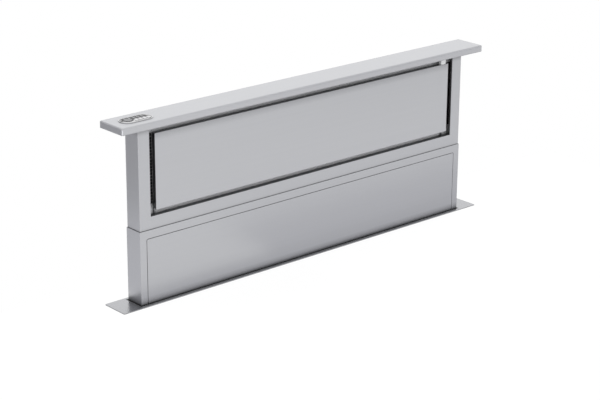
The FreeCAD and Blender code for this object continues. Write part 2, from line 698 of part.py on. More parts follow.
def column_head():
    """Plate across the top of the column that the cap is screwed to."""
    body = piece("column_head")
    x = "(Place.upper_x - Size.sheet)"
    y = "(Place.upper_y - Size.sheet)"
    pad(body, "XY_Plane", 0, "Size.head_thickness", (rectangle, f"-{x}", x, f"-{y}", y))
    cut(body, "XY_Plane", "-Size.sheet", "Size.sheet * 4", *cap_screw_circles("Size.screw_radius"))
    place(body, 0, 0, "Place.head_low")


def filter_rails():
    """Two channels across the column that hold the lower and the upper edges of the filters."""
    body = piece("filter_rails")
    front = "Place.filter_front - Size.filter_play"
    back = "Size.filter_back + Size.filter_play"
    half = "(Place.upper_x - Size.sheet)"
    low = "Place.filter_low - Size.sheet"
    high = "Place.head_low"
    for base, wall, edge in (
        (low, "Place.filter_low", "Place.filter_low + Size.rail_lip"),
        (high, f"{high} - Size.sheet", f"{high} - Size.sheet - Size.rail_drop"),
    ):
        section = [
            (f"{front} - Size.sheet", base),
            (f"{back} + Size.sheet", base),
            (f"{back} + Size.sheet", edge),
            (back, edge),
            (back, wall),
            (front, wall),
            (front, edge),
            (f"{front} - Size.sheet", edge),
        ]
        pad(body, "YZ_Plane", f"-{half}", f"2 * {half}", (outline, section))


def filters():
    """Two cassettes side by side, each a frame round a mesh pack."""
    low = "0"
    high = "Place.filter_high - Place.filter_low"
    spans = {
        "left": ("-Place.filter_x", "-Size.filter_gap / 2"),
        "right": ("Size.filter_gap / 2", "Place.filter_x"),
    }
    packs = []
    for side, (left, right) in spans.items():
        outside = (left, right, low, high)
        frame = piece(f"filter_frame_{side}")
        inside = (rectangle, *inset(outside, "Size.filter_frame"))
        pad(frame, "XZ_Plane", "-Size.filter_back", "Size.filter_depth", (rectangle, *outside), inside)
        place(frame, 0, 0, "Place.filter_low")
        packs.append(inside)
    meshes = piece("filter_meshes")
    start = "-Size.filter_back + (Size.filter_depth - Size.mesh_depth) / 2"
    pad(meshes, "XZ_Plane", start, "Size.mesh_depth", *packs)
    place(meshes, 0, 0, "Place.filter_low")


# ------------------------------------------------------------ suction panel


def suction_panel():
    """Tray with folded edges, flush with the column, hung on two lugs near its bottom edge."""
    body = piece("suction_panel")
    height = "(Place.panel_high - Place.panel_low)"
    sides = ("-Place.panel_x", "Place.panel_x", "0", height)
    inner = "(Place.upper_y - Size.panel_return)"
    pad(body, "XZ_Plane", inner, "Size.panel_return", (rectangle, *sides))
    hollow = (rectangle, *inset(sides, "Size.sheet"))
    cut(body, "XZ_Plane", f"{inner} - Size.sheet", "Size.panel_return", hollow)
    notch = (
        "Place.hinge_x + Size.hinge_lug",
        "Place.hinge_x + 3 * Size.hinge_lug",
        "-Place.upper_y + 2 * Size.sheet",
        "-Place.upper_y + Size.panel_return + Size.sheet",
    )
    other = (f"-({notch[1]})", f"-({notch[0]})", notch[2], notch[3])
    cut(body, "XY_Plane", "-Size.sheet", "3 * Size.sheet", (rectangle, *notch), (rectangle, *other))
    eye = (circle, "Place.hinge_y", "Size.hinge_up", "Size.hinge_eye")
    arm = (
        "-Place.upper_y + Size.sheet / 2",
        "Place.hinge_y",
        "Size.hinge_up - Size.hinge_eye + Size.sheet / 2",
        "Size.hinge_up + Size.hinge_eye",
    )
    bore = (circle, "Place.hinge_y", "Size.hinge_up", "Size.hinge_pin_radius + Size.fit_clearance")
    for start in ("Place.hinge_x", "-Place.hinge_x - Size.hinge_lug"):
        pad(body, "YZ_Plane", start, "Size.hinge_lug", (rectangle, *arm))
        pad(body, "YZ_Plane", start, "Size.hinge_lug", eye)
        cut(body, "YZ_Plane", start, "Size.hinge_lug", bore)
    place(body, 0, 0, "Place.panel_low")


def hinge_brackets():
    """Two arms from the lower filter rail forward to the panel's pins."""
    body = piece("hinge_brackets")
    rail_face = "Place.filter_front - Size.filter_play - Size.sheet"
    foot = "Place.filter_low - Size.sheet - Place.hinge_z"
    section = [
        (f"{rail_face} - Size.hinge_neck", foot),
        (rail_face, foot),
        (rail_face, "Size.hinge_eye"),
        ("Place.hinge_y", "Size.hinge_eye"),
        ("Place.hinge_y", "-Size.hinge_eye"),
        (f"{rail_face} - Size.hinge_neck", "-Size.hinge_eye"),
    ]
    eye = (circle, "Place.hinge_y", "0", "Size.hinge_eye")
    bore = (circle, "Place.hinge_y", "0", "Size.hinge_pin_radius + Size.running_clearance")
    near = "Place.hinge_x + Size.hinge_lug + Size.lug_gap"
    for start in (near, f"-({near}) - Size.hinge_lug"):
        pad(body, "YZ_Plane", start, "Size.hinge_lug", (outline, section))
        pad(body, "YZ_Plane", start, "Size.hinge_lug", eye)
        cut(body, "YZ_Plane", start, "Size.hinge_lug", bore)
    place(body, 0, 0, "Place.hinge_z")


def hinge_pins():
    body = piece("hinge_pins")
    pin = (circle, "Place.hinge_y", "0", "Size.hinge_pin_radius")
    head = (circle, "Place.hinge_y", "0", "Size.hinge_pin_radius + Size.sheet")
    length = "2 * Size.hinge_lug + 2 * Size.lug_gap"
    for start, cap_start in (
        ("Place.hinge_x", "Place.hinge_x - Size.sheet"),
        (f"-Place.hinge_x - ({length})", "-Place.hinge_x"),
    ):
        pad(body, "YZ_Plane", start, length, pin)
        pad(body, "YZ_Plane", cap_start, "Size.sheet", head)
    place(body, 0, 0, "Place.hinge_z")


def panel_catch():
    """Nylon catch on the panel's top edge, near its right end."""
    body = piece("panel_catch")
    front = "-Place.upper_y + Size.sheet / 2"
    sides = (
        "Place.catch_x - Size.catch_width / 2",
        "Place.catch_x + Size.catch_width / 2",
        front,
        f"{front} + Size.catch_depth",
    )
    pad(body, "XY_Plane", 0, "Size.catch_height", (rectangle, *sides))
    place(body, 0, 0, "Place.panel_high")


# ------------------------------------------------------------ racks and pinions


def rack_points(pitch_line, facing, low, high, space_at):
    """Toothed edge from low to high; facing is +1 or -1 along Y, and a space is centred at space_at."""
    module, angle = value("Size.gear_module"), math.radians(value("Size.pressure_angle"))
    pitch = math.pi * module
    tip, root = value("Size.tooth_addendum") * module, value("Size.tooth_dedendum") * module
    half = pitch / 4 - value("Size.tooth_play") / 4
    tip_half, root_half = half - tip * math.tan(angle), half + root * math.tan(angle)
    root_y, tip_y = pitch_line - facing * root, pitch_line + facing * tip
    points = [(root_y, low)]
    first = math.ceil((low - space_at + root_half) / pitch - 0.5)
    centre = space_at + (first + 0.5) * pitch
    while centre + root_half < high:
        points.append((root_y, centre - root_half))
        points.append((tip_y, centre - tip_half))
        points.append((tip_y, centre + tip_half))
        points.append((root_y, centre + root_half))
        centre += pitch
    points.append((root_y, high))
    return points


def bar(points, x, width):
    """A prism along X of a closed outline in the YZ plane."""
    corners = [V(x, y, z) for y, z in points]
    face = Part.Face(Part.makePolygon(corners + corners[:1]))
    return face.extrude(V(width, 0, 0))


def pair(name, points, inner):
    """Two equal bars along X, one at each end, from the inner place outward."""
    width = value("Size.gear_width")
    made(name, Part.makeCompound([bar(points, x, width) for x in (-inner - width, inner)]))


def rack_legs():
    """Racks fixed inside the front of the upper column that hang down through the lower one."""
    back = value("-Place.upper_y + Size.sheet")
    low, high = value("Place.leg_low"), value("Place.leg_high")
    teeth_high, space_at = value("Place.leg_teeth_high"), value("Place.shaft_z")
    teeth = rack_points(value("-Place.large_pitch"), 1, low, teeth_high, space_at)
    points = [(back, high), (back, low)] + teeth + [(teeth[-1][0], high)]
    pair("rack_legs", points, value("Place.large_gear_x"))


def rack_posts():
    """Racks that stand on the housing floor, and the webs that tie them to the housing's back."""
    back, wall, low = value("Size.post_back"), value("Place.housing_y"), value("Place.floor + Size.sheet")
    high, teeth_low = value("Place.post_high"), value("Place.post_teeth_low")
    web_high = value("Place.lower_low - Place.lower_travel - Size.post_web_gap")
    teeth = rack_points(value("Place.small_pitch"), -1, teeth_low, high, value("Place.shaft_z"))
    points = [(teeth[0][0], low)] + teeth + [(back, high), (back, low)]
    pair("rack_posts", points, value("Place.small_gear_x"))
    web = [(back, low), (back, web_high), (wall, web_high), (wall, low)]
    pair("post_webs", web, value("Place.small_gear_x"))


def pinion(teeth, x, width, toward):
    """Involute pinion on the shaft's axis, with one tooth centred on the toward direction, along Y."""
    module, pressure = value("Size.gear_module"), math.radians(value("Size.pressure_angle"))
    pitch_radius = module * teeth / 2
    base_radius = pitch_radius * math.cos(pressure)
    tip_radius = pitch_radius + value("Size.tooth_addendum") * module
    root_radius = pitch_radius - value("Size.tooth_dedendum") * module
    half = math.pi / (2 * teeth) - value("Size.tooth_play") / (4 * pitch_radius)

    def flank(radius):
        """Half the angle of a tooth at a radius; below the base circle the flank is radial."""
        roll = math.acos(base_radius / max(radius, base_radius))
        return half + math.tan(pressure) - pressure - (math.tan(roll) - roll)

    radii = [root_radius + (tip_radius - root_radius) * share for share in (0, 1 / 3, 2 / 3, 1)]
    points = []
    for tooth in range(teeth):
        centre = 2 * math.pi * tooth / teeth + (0 if toward > 0 else math.pi)
        rising = [(radius, centre - flank(radius)) for radius in radii]
        falling = [(radius, centre + flank(radius)) for radius in reversed(radii)]
        points += rising + falling
    axis_z = value("Place.shaft_z")
    wheel = bar([(r * math.cos(a), axis_z + r * math.sin(a)) for r, a in points], x, width)
    bore_radius = value("Size.shaft_radius + Size.fit_clearance")
    return wheel.cut(Part.makeCylinder(bore_radius, width, V(x, 0, axis_z), V(1, 0, 0)))


def pinions():
    width = value("Size.gear_width")
    small, large = value("Place.small_gear_x"), value("Place.large_gear_x")
    small_teeth, large_teeth = round(value("Size.small_teeth")), round(value("Size.large_teeth"))
    small_pair = [pinion(small_teeth, x, width, 1) for x in (-small - width, small)]
    large_pair = [pinion(large_teeth, x, width, -1) for x in (-large - width, large)]
    made("small_pinions", Part.makeCompound(small_pair))
    made("large_pinions", Part.makeCompound(large_pair))


# ------------------------------------------------------------ lower column


def lower_skin():
    """Front and ends of the lower column, cut out for the front panel down to its bottom edge."""
    body = piece("lower_skin")
    height = "Place.seam - Place.lower_low"
    back = "Place.lower_y - Size.sheet"
    section = three_sides("Place.lower_x", "Place.lower_y", "Size.sheet", back)
    pad(body, "XY_Plane", 0, height, (outline, section))
    side = "Place.access_x + Size.access_seam"
    top = "Place.access_high + Size.access_seam - Place.lower_low"
    start = "Place.lower_y - 2 * Size.sheet"
    cut(body, "XZ_Plane", start, "3 * Size.sheet", (rectangle, f"-({side})", side, "-Size.sheet", top))
    edge_x, edge_z = value(side), value(top)
    chosen = lambda middle, way: abs(abs(middle.x) - edge_x) < 0.01 and abs(middle.z - edge_z) < 0.01
    round_edges(body, "Size.access_corner + Size.access_seam", chosen)
    place(body, 0, 0, "Place.lower_low")


def lower_back():
    body = piece("lower_back")
    sides = ("-Place.lower_x", "Place.lower_x", "Place.lower_y - Size.sheet", "Place.lower_y")
    pad(body, "XY_Plane", 0, "Place.seam - Place.lower_low", (rectangle, *sides))
    place(body, 0, 0, "Place.lower_low")


def lower_panel():
    """Flush front panel that gives access to the drive."""
    body = piece("lower_panel")
    height = "Place.access_high - Place.lower_low"
    start = "Place.lower_y - Size.sheet"
    pad(body, "XZ_Plane", start, "Size.sheet", (rectangle, "-Place.access_x", "Place.access_x", "0", height))
    top = value(height)
    chosen = lambda middle, way: abs(middle.z - top) < 0.01 and abs(way.y) > 0.9
    round_edges(body, "Size.access_corner", chosen)
    place(body, 0, 0, "Place.lower_low")


def access_bar():
    """Thin bar behind the panel's bottom edge, joining the two stiles."""
    body = piece("access_bar")
    half = "Place.lower_x - Size.sheet"
    start = "Place.lower_y - 2 * Size.sheet"
    shape = (rectangle, f"-({half})", half, "0", "Size.cross_height")
    pad(body, "XZ_Plane", start, "Size.sheet", shape)
    place(body, 0, 0, "Place.lower_low")


def cross_member():
    """Channel on the lower column's back that carries the shaft and the lift drive."""
    body = piece("cross_member")
    back = "Place.lower_y - Size.sheet"
    front = f"{back} - Size.cross_depth"
    section = [
        (back, "0"),
        (back, "Size.cross_height"),
        (front, "Size.cross_height"),
        (front, "Size.cross_height - Size.cross_sheet"),
        (f"{back} - Size.cross_sheet", "Size.cross_height - Size.cross_sheet"),
        (f"{back} - Size.cross_sheet", "Size.cross_sheet"),
        (front, "Size.cross_sheet"),
        (front, "0"),
    ]
    half = "(Place.small_gear_x - Size.gear_spacing)"
    pad(body, "YZ_Plane", f"-{half}", f"2 * {half}", (outline, section))
    place(body, 0, 0, "Place.lower_low")


def bearing_sides():
    """Where each bearing bracket starts along X."""
    middle = "Place.bearing_x + Size.bush_length / 2 - Size.cross_sheet / 2"
    return (middle, f"-({middle}) - Size.cross_sheet")


def bearing_brackets():
    body = piece("bearing_brackets")
    back = "Place.lower_y - Size.sheet"
    plate = (rectangle, "-Size.bracket_width / 2", back, "-Size.bracket_width / 2", "Size.shaft_drop")
    hole = (circle, "0", "0", "Size.shaft_radius + Size.bush_wall + Size.fit_clearance")
    for start in bearing_sides():
        pad(body, "YZ_Plane", start, "Size.cross_sheet", plate)
        cut(body, "YZ_Plane", start, "Size.cross_sheet", hole)
    place(body, 0, 0, "Place.shaft_z")


def shaft_bushes():
    body = piece("shaft_bushes")
    outside = (circle, "0", "0", "Size.shaft_radius + Size.bush_wall")
    inside = (circle, "0", "0", "Size.shaft_radius + Size.running_clearance")
    for start in ("Place.bearing_x", "-Place.bearing_x - Size.bush_length"):
        pad(body, "YZ_Plane", start, "Size.bush_length", outside, inside)
    place(body, 0, 0, "Place.shaft_z")


def sync_shaft():
    body = piece("sync_shaft")
    half = "(Place.large_gear_x + Size.gear_width + Size.gear_spacing / 2)"
    pad(body, "YZ_Plane", f"-{half}", f"2 * {half}", (circle, "0", "0", "Size.shaft_radius"))
    place(body, 0, 0, "Place.shaft_z")


def lift_gearbox():
    """Hollow-shaft gearbox hung from the cross member; the motor lies under the shaft."""
    body = piece("lift_gearbox")
    start = "-Size.gearbox_length / 2"
    sides = ("-Size.gearbox_radius", "Size.gearbox_radius", "-Size.motor_drop", "0")
    ends = [(circle, "0", drop, "Size.gearbox_radius") for drop in ("0", "-Size.motor_drop")]
    pad(body, "YZ_Plane", start, "Size.gearbox_length", (rectangle, *sides))
    for end in ends:
        pad(body, "YZ_Plane", start, "Size.gearbox_length", end)
    lug = ("Place.lower_y - Size.sheet - Size.cross_depth", "Size.gearbox_radius", "0", "Size.shaft_drop")
    pad(body, "YZ_Plane", start, "Size.gearbox_length", (rectangle, *lug))
    bore = (circle, "0", "0", "Size.shaft_radius + Size.running_clearance")
    cut(body, "YZ_Plane", start, "Size.gearbox_length", bore)
    place(body, 0, 0, "Place.shaft_z")


def lift_motor():
    body = piece("lift_motor")
    can = (circle, "0", "-Size.motor_drop", "Size.motor_radius")
    pad(body, "YZ_Plane", "Size.gearbox_length / 2", "Size.motor_length", can)
    round_edges(body, "Size.motor_round", lambda middle, way: middle.x > value("Size.motor_length"))
    place(body, 0, 0, "Place.shaft_z")


# ------------------------------------------------------------ worktop and housing

SLOT = (rectangle, "-Place.slot_x", "Place.slot_x", "-Place.slot_y", "Place.slot_y")

def base_plate():
    """Thin plate on the worktop, with an opening for its collar and the lower column."""
    body = piece("base_plate")
    sides = ("-Place.plate_x", "Place.plate_x", "-Place.plate_y", "Place.plate_y", "Size.plate_corner")
    opening = (rectangle, "-Place.housing_x", "Place.housing_x", "-Place.housing_y", "Place.housing_y")
    pad(body, "XY_Plane", 0, "Size.plate_thickness", (rounded, *sides), opening)


def plate_collar():
    """Collar welded into the plate's opening, that hangs in the worktop's cut-out."""
    body = piece("plate_collar")
    turned = (rectangle, "-Place.housing_x", "Place.housing_x", "-Place.housing_y", "Place.housing_y")
    height = "Size.collar_drop + Size.plate_thickness"
    pad(body, "XY_Plane", "-Size.collar_drop", height, turned, SLOT)
    through = "2 * Place.outer_y"
    cut(body, "XZ_Plane", "-Place.outer_y", through, *housing_screw_circles("Size.screw_radius"))


def slot_seal():
    """Four strips of lip seal between the plate's collar and the lower column."""
    x = "(Place.lower_x + Size.seal_clearance)"
    y = "(Place.lower_y + Size.seal_clearance)"
    short_y = f"({y} - Size.seal_joint)"
    body = piece("slot_seal")
    strips = [
        (rectangle, "-Place.slot_x", "Place.slot_x", y, "Place.slot_y"),
        (rectangle, "-Place.slot_x", "Place.slot_x", "-Place.slot_y", f"-{y}"),
        (rectangle, x, "Place.slot_x", f"-{short_y}", short_y),
        (rectangle, "-Place.slot_x", f"-{x}", f"-{short_y}", short_y),
    ]
    pad(body, "XY_Plane", 0, "Size.seal_height", *strips)
    place(body, 0, 0, "Place.plate_top - Size.seal_height - Size.seal_sink")


def housing_screw_circles(radius):
    """Screws through the housing and the collar, along its front and back."""
    height = "-Size.collar_drop + Size.housing_lap / 2"
    columns = [f"{share} * Place.housing_screw_x" for share in ("-1", "-1 / 3", "1 / 3", "1")]
    return [(circle, x, height, radius) for x in columns]


def housing_screws():
    body = piece("housing_screws")
    thread = housing_screw_circles("Size.screw_radius - Size.fit_clearance")
    head = housing_screw_circles("Size.screw_head")
    pad(body, "XZ_Plane", "Place.slot_y - Size.screw_tail", "2 * Size.sheet + Size.screw_tail", *thread)
    pad(body, "XZ_Plane", "Place.outer_y", "Size.screw_rise", *head)
    pad(body, "XZ_Plane", "-Place.outer_y", "2 * Size.sheet + Size.screw_tail", *thread)
    pad(body, "XZ_Plane", "-Place.outer_y - Size.screw_rise", "Size.screw_rise", *head)


def housing_wrap():
    """Back and ends of the housing, lapped over the collar."""
    body = piece("housing_wrap")
    folded = three_sides("Place.outer_x", "Place.outer_y", "Size.sheet", "Place.housing_y")
    section = [(x, f"-({y})") for x, y in folded]
    pad(body, "XY_Plane", 0, "Place.housing_top - Place.floor", (outline, section))
    place(body, 0, 0, "Place.floor")
    height = "-Size.collar_drop + Size.housing_lap / 2 - Place.floor"
    holes = [(circle, x, height, radius) for _, x, _, radius in housing_screw_circles("Size.screw_radius")]
    cut(body, "XZ_Plane", "-Place.outer_y - Size.sheet", "3 * Size.sheet", *holes)


def housing_front():
    """Front of the housing, with a square opening that the blower's back covers."""
    body = piece("housing_front")
    sides = (rectangle, "-Place.outer_x", "Place.outer_x", "Place.floor", "Place.housing_top")
    half = "Size.inlet_opening / 2"
    opening = (rectangle, f"-{half}", half, f"Place.blower_z - {half}", f"Place.blower_z + {half}")
    screws = housing_screw_circles("Size.screw_radius")
    pad(body, "XZ_Plane", "Place.housing_y", "Size.sheet", sides, opening, *screws)


def housing_floor():
    """Tray that closes the housing from below."""
    body = piece("housing_floor")
    sides = ("-Place.housing_x", "Place.housing_x", "-Place.housing_y", "Place.housing_y")
    pad(body, "XY_Plane", 0, "Size.sheet", (rectangle, *sides))
    place(body, 0, 0, "Place.floor")


def guide_pads():
    """Nylon blocks inside the housing that the lower column runs between, in two rings."""
    body = piece("guide_pads")
    near_y, far_y = "Place.lower_y + Size.seal_clearance", "Place.housing_y"
    near_x, far_x = "Place.lower_x + Size.seal_clearance", "Place.housing_x"
    half = "Size.pad_width / 2"
    blocks = []
    for side in ("-1", "1"):
        x0 = f"{side} * Place.guide_x - {half}"
        x1 = f"{side} * Place.guide_x + {half}"
        blocks.append((rectangle, x0, x1, near_y, far_y))
        blocks.append((rectangle, x0, x1, f"-({far_y})", f"-({near_y})"))
    blocks.append((rectangle, near_x, far_x, f"-{half}", half))
    blocks.append((rectangle, f"-({far_x})", f"-({near_x})", f"-{half}", half))
    ring = pad(body, "XY_Plane", 0, "Size.pad_height", *blocks)
    repeat(body, [ring], "XY_Plane", "Size.lower_depth_below - Size.collar_drop - 2 * Size.pad_height", 2)
    place(body, 0, 0, "-Size.lower_depth_below + Size.pad_height / 2")


def side_brackets():
    """Angles on the housing's ends, slotted for screws into the cabinet."""
    body = piece("side_brackets")
    outer, leg, wall = "Place.outer_x", "Size.bracket_leg", "Size.cross_sheet"
    back = "Place.bracket_back"
    for side in ("1", "-1"):
        section = [
            (outer, back),
            (f"{outer} + {leg}", back),
            (f"{outer} + {leg}", f"{back} - {wall}"),
            (f"{outer} + {wall}", f"{back} - {wall}"),
            (f"{outer} + {wall}", f"{back} - {leg}"),
            (outer, f"{back} - {leg}"),
        ]
        signed = [(f"{side} * ({x})", y) for x, y in section]
        pad(body, "XY_Plane", "-Size.bracket_height", "Size.bracket_height", (outline, signed))
    slots = []
    edge = "(Size.bracket_height - Size.bracket_slots) / 2"
    for side in ("1", "-1"):
        x = f"{side} * Place.slot_place"
        for height in (f"-({edge})", f"-({edge}) - Size.bracket_slots"):
            slots.append((slotted, x, height, "Size.slot_length", "Size.slot_radius"))
    cut(body, "XZ_Plane", f"-{back} - {wall}", f"3 * {wall}", *slots)
    place(body, 0, 0, "-Size.bracket_drop")


# ------------------------------------------------------------ blower


def volute_wire(wall):
    """Volute of three growing quarter arcs and a straight outlet down; wall moves the outline out."""
    step, first = value("Size.volute_step"), value("Size.volute_radius")
    half, quarter = step / 2, math.pi / 2
    base, tongue_x = value("-Size.outlet_drop"), value("Place.outlet_in") - wall
    tongue = -math.acos((tongue_x + half) / (first + wall))

    def arc(centre, radius, start, end):
        """Arc in the XZ plane between two angles, and its two end points."""
        turns = (start, (start + end) / 2, end)
        points = [centre + V(radius * math.cos(angle), 0, radius * math.sin(angle)) for angle in turns]
        return Part.Arc(*points).toShape(), points[0], points[2]

    throat, start, _ = arc(V(-half, 0, half), first + wall, tongue, -2 * quarter)
    side = arc(V(half, 0, half), first + step + wall, 2 * quarter, quarter)[0]
    top, _, right = arc(V(half, 0, -half), first + 2 * step + wall, quarter, 0)
    corners = [right, V(right.x, 0, base), V(start.x, 0, base), start]
    lines = [Part.LineSegment(one, two).toShape() for one, two in zip(corners, corners[1:])]
    return Part.Wire(Part.__sortEdges__([throat, side, top] + lines))


def blower():
    """Folded casing, open at the front and below, and the front plate that carries the motor."""
    sheet, depth = value("Size.blower_sheet"), value("Size.blower_depth")
    back, axis_z = value("Place.blower_back"), value("Place.blower_z")
    outside = Part.Face(volute_wire(sheet)).extrude(V(0, -depth + sheet, 0))
    inside = Part.Face(volute_wire(0)).extrude(V(0, -depth, 0)).translated(V(0, -sheet, 0))
    mouth = value("Place.outlet_out - Place.outlet_in")
    corner = V(value("Place.outlet_in"), -depth - sheet, value("-Size.outlet_drop") - sheet)
    below = Part.makeBox(mouth, depth, 2 * sheet, corner)
    inlet = Part.makeCylinder(value("Size.inlet_radius"), 3 * sheet, V(0, sheet, 0), V(0, -1, 0))
    made("blower_casing", outside.cut([inside, inlet, below])).Placement.Base = V(0, back, axis_z)
    plate = Part.Face(volute_wire(sheet)).extrude(V(0, -sheet, 0))
    bore = Part.makeCylinder(value("Size.hub_radius"), 3 * sheet, V(0, sheet, 0), V(0, -1, 0))
    made("blower_front", plate.cut(bore)).Placement.Base = V(0, back - depth + sheet, axis_z)


def inlet_ring():
    """Rolled ring in the casing's back that guides the air into the impeller."""
    body = piece("inlet_ring")
    outside = "Size.inlet_radius - Size.running_clearance"
    flange = "Size.inlet_radius + Size.inlet_lip"
    through = "2 * Size.blower_sheet + Size.inlet_lip"
    turn(
        body,
        (f"{outside} - Size.blower_sheet", "0"),
        (outside, "0"),
        (outside, "Size.blower_sheet"),
        (flange, "Size.blower_sheet"),
        (flange, "2 * Size.blower_sheet"),
        (outside, "2 * Size.blower_sheet"),
        (outside, through),
        (f"{outside} - Size.blower_sheet", through),
    )
    body.Placement.Rotation = FreeCAD.Rotation(V(1, 0, 0), 90)
    place(body, 0, "Place.blower_back", "Place.blower_z")


def impeller():
    """Forward-curved wheel: a back disc with its hub, the blades, and a ring at the inlet."""
    inner, outer = value("Size.impeller_eye"), value("Size.impeller_radius")
    width, sheet = value("Size.impeller_width"), value("Size.blade_sheet")
    lean, bow = math.radians(value("Size.blade_angle")), value("Size.blade_bow")
    middle, tip = (inner + outer) / 2, value("Size.impeller_radius - Size.blade_clear")

    def face(turned):
        """Curved line of one side of a blade, from its inner to its outer edge."""
        places = [(inner, 0), (middle, lean * bow), (tip, lean)]
        return [V(radius * math.cos(a + turned), 0, radius * math.sin(a + turned)) for radius, a in places]

    leading, trailing = face(0), face(sheet / inner)
    edges = [
        Part.Arc(*leading).toShape(),
        Part.LineSegment(leading[2], trailing[2]).toShape(),
        Part.Arc(*reversed(trailing)).toShape(),
        Part.LineSegment(trailing[0], leading[0]).toShape(),
    ]
    blade = Part.Face(Part.Wire(edges)).extrude(V(0, width, 0))
    count = round(value("Size.blade_count"))
    blades = []
    for number in range(count):
        copy = blade.copy()
        copy.rotate(V(0, 0, 0), V(0, 1, 0), 360 * number / count)
        blades.append(copy)

    def disc(radius, low, length):
        return Part.makeCylinder(radius, length, V(0, low, 0), V(0, 1, 0))

    hub_radius = value("Size.blower_shaft_radius + Size.hub_wall")
    ring_low = width - 2 * sheet
    ring = disc(outer, ring_low, 2 * sheet).cut(disc(middle, ring_low, 2 * sheet))
    bore = disc(value("Size.blower_shaft_radius + Size.fit_clearance"), 0, width)
    back = disc(outer, 0, 2 * sheet)
    wheel = back.multiFuse([disc(hub_radius, 0, value("Size.hub_length")), ring] + blades).cut(bore)
    made("impeller", wheel).Placement.Base = V(0, value("Place.impeller_front"), value("Place.blower_z"))


def blower_shaft():
    body = piece("blower_shaft")
    length = "Size.hub_length + Place.impeller_front - Place.blower_front + Size.shaft_seat"
    start = "-(Place.impeller_front + Size.hub_length)"
    pad(body, "XZ_Plane", start, length, (circle, "0", "0", "Size.blower_shaft_radius"))
    place(body, 0, 0, "Place.blower_z")


def blower_motor():
    """Motor can on the blower's front plate, with a flange and a bore for the shaft."""
    body = piece("blower_motor")
    start = "-Place.blower_front"
    flange = (circle, "0", "0", "Size.blower_motor_radius + Size.motor_flange")
    pad(body, "XZ_Plane", start, "Size.cross_sheet", flange)
    pad(body, "XZ_Plane", start, "Size.blower_motor_length", (circle, "0", "0", "Size.blower_motor_radius"))
    far = value("-Place.blower_front + Size.blower_motor_length")
    round_edges(body, "Size.motor_round", lambda middle, way: middle.y < -far + 0.01)
    bore = (circle, "0", "0", "Size.blower_shaft_radius + Size.running_clearance")
    cut(body, "XZ_Plane", start, "Size.shaft_seat + Size.sheet", bore)
    place(body, 0, 0, "Place.blower_z")


def outlet_collar():
    """Square-to-round collar under the blower, ending in a round duct connection."""
    sheet = value("Size.blower_sheet")
    left, right = value("Place.outlet_in"), value("Place.outlet_out")
    front, back = value("Place.blower_front") + sheet, value("Place.blower_back") - sheet
    high, middle, low = value("Place.outlet_z"), value("Place.duct_top"), value("Place.duct_low")
    centre = V(value("Place.duct_x"), value("Place.duct_y"), middle)

    def funnel(wall, radius):
        corners = [
            V(right + wall, back + wall, high),
            V(left - wall, back + wall, high),
            V(left - wall, front - wall, high),
            V(right + wall, front - wall, high),
        ]
        square = Part.makePolygon(corners + corners[:1])
        arcs = []
        for corner in range(4):
            turns = [math.pi / 4 * (2 * corner + step) for step in (1, 2, 3)]
            points = [centre + V(radius * math.cos(a), radius * math.sin(a), 0) for a in turns]
            arcs.append(Part.Arc(*points).toShape())
        tube = Part.makeCylinder(radius, middle - low, V(centre.x, centre.y, low))
        return Part.makeLoft([square, Part.Wire(arcs)], True, True).fuse(tube)

    radius = value("Size.duct_radius")
    collar = funnel(sheet, radius).cut(funnel(0, radius - sheet))
    pin_radius = value("Size.flap_pin_radius + Size.running_clearance")
    axle = V(centre.x - 2 * radius, centre.y, value("Place.flap_z"))
    made("outlet_collar", collar.cut(Part.makeCylinder(pin_radius, 4 * radius, axle, V(1, 0, 0))))


def damper():
    """Sprung butterfly flap in the duct collar and the pin that it turns on."""
    flap = piece("damper_flap")
    radius = "Size.duct_radius - Size.blower_sheet - Size.flap_clearance"
    pad(flap, "XY_Plane", "-Size.blower_sheet / 2", "Size.blower_sheet", (circle, "0", "0", radius))
    tube = (circle, "0", "0", "Size.flap_pin_radius + Size.flap_tube_wall")
    half = f"({radius} - Size.flap_boss_inset)"
    pad(flap, "YZ_Plane", f"-{half}", f"2 * {half}", tube)
    bore = (circle, "0", "0", "Size.flap_pin_radius + Size.fit_clearance")
    cut(flap, "YZ_Plane", "-Size.duct_radius", "2 * Size.duct_radius", bore)
    place(flap, "Place.duct_x", "Place.duct_y", "Place.flap_z")
    pin = piece("damper_pin")
    reach = "(Size.duct_radius - Size.flap_pin_short)"
    pad(pin, "YZ_Plane", f"-{reach}", f"2 * {reach}", (circle, "0", "0", "Size.flap_pin_radius"))
    place(pin, "Place.duct_x", "Place.duct_y", "Place.flap_z")


# ------------------------------------------------------------ control box


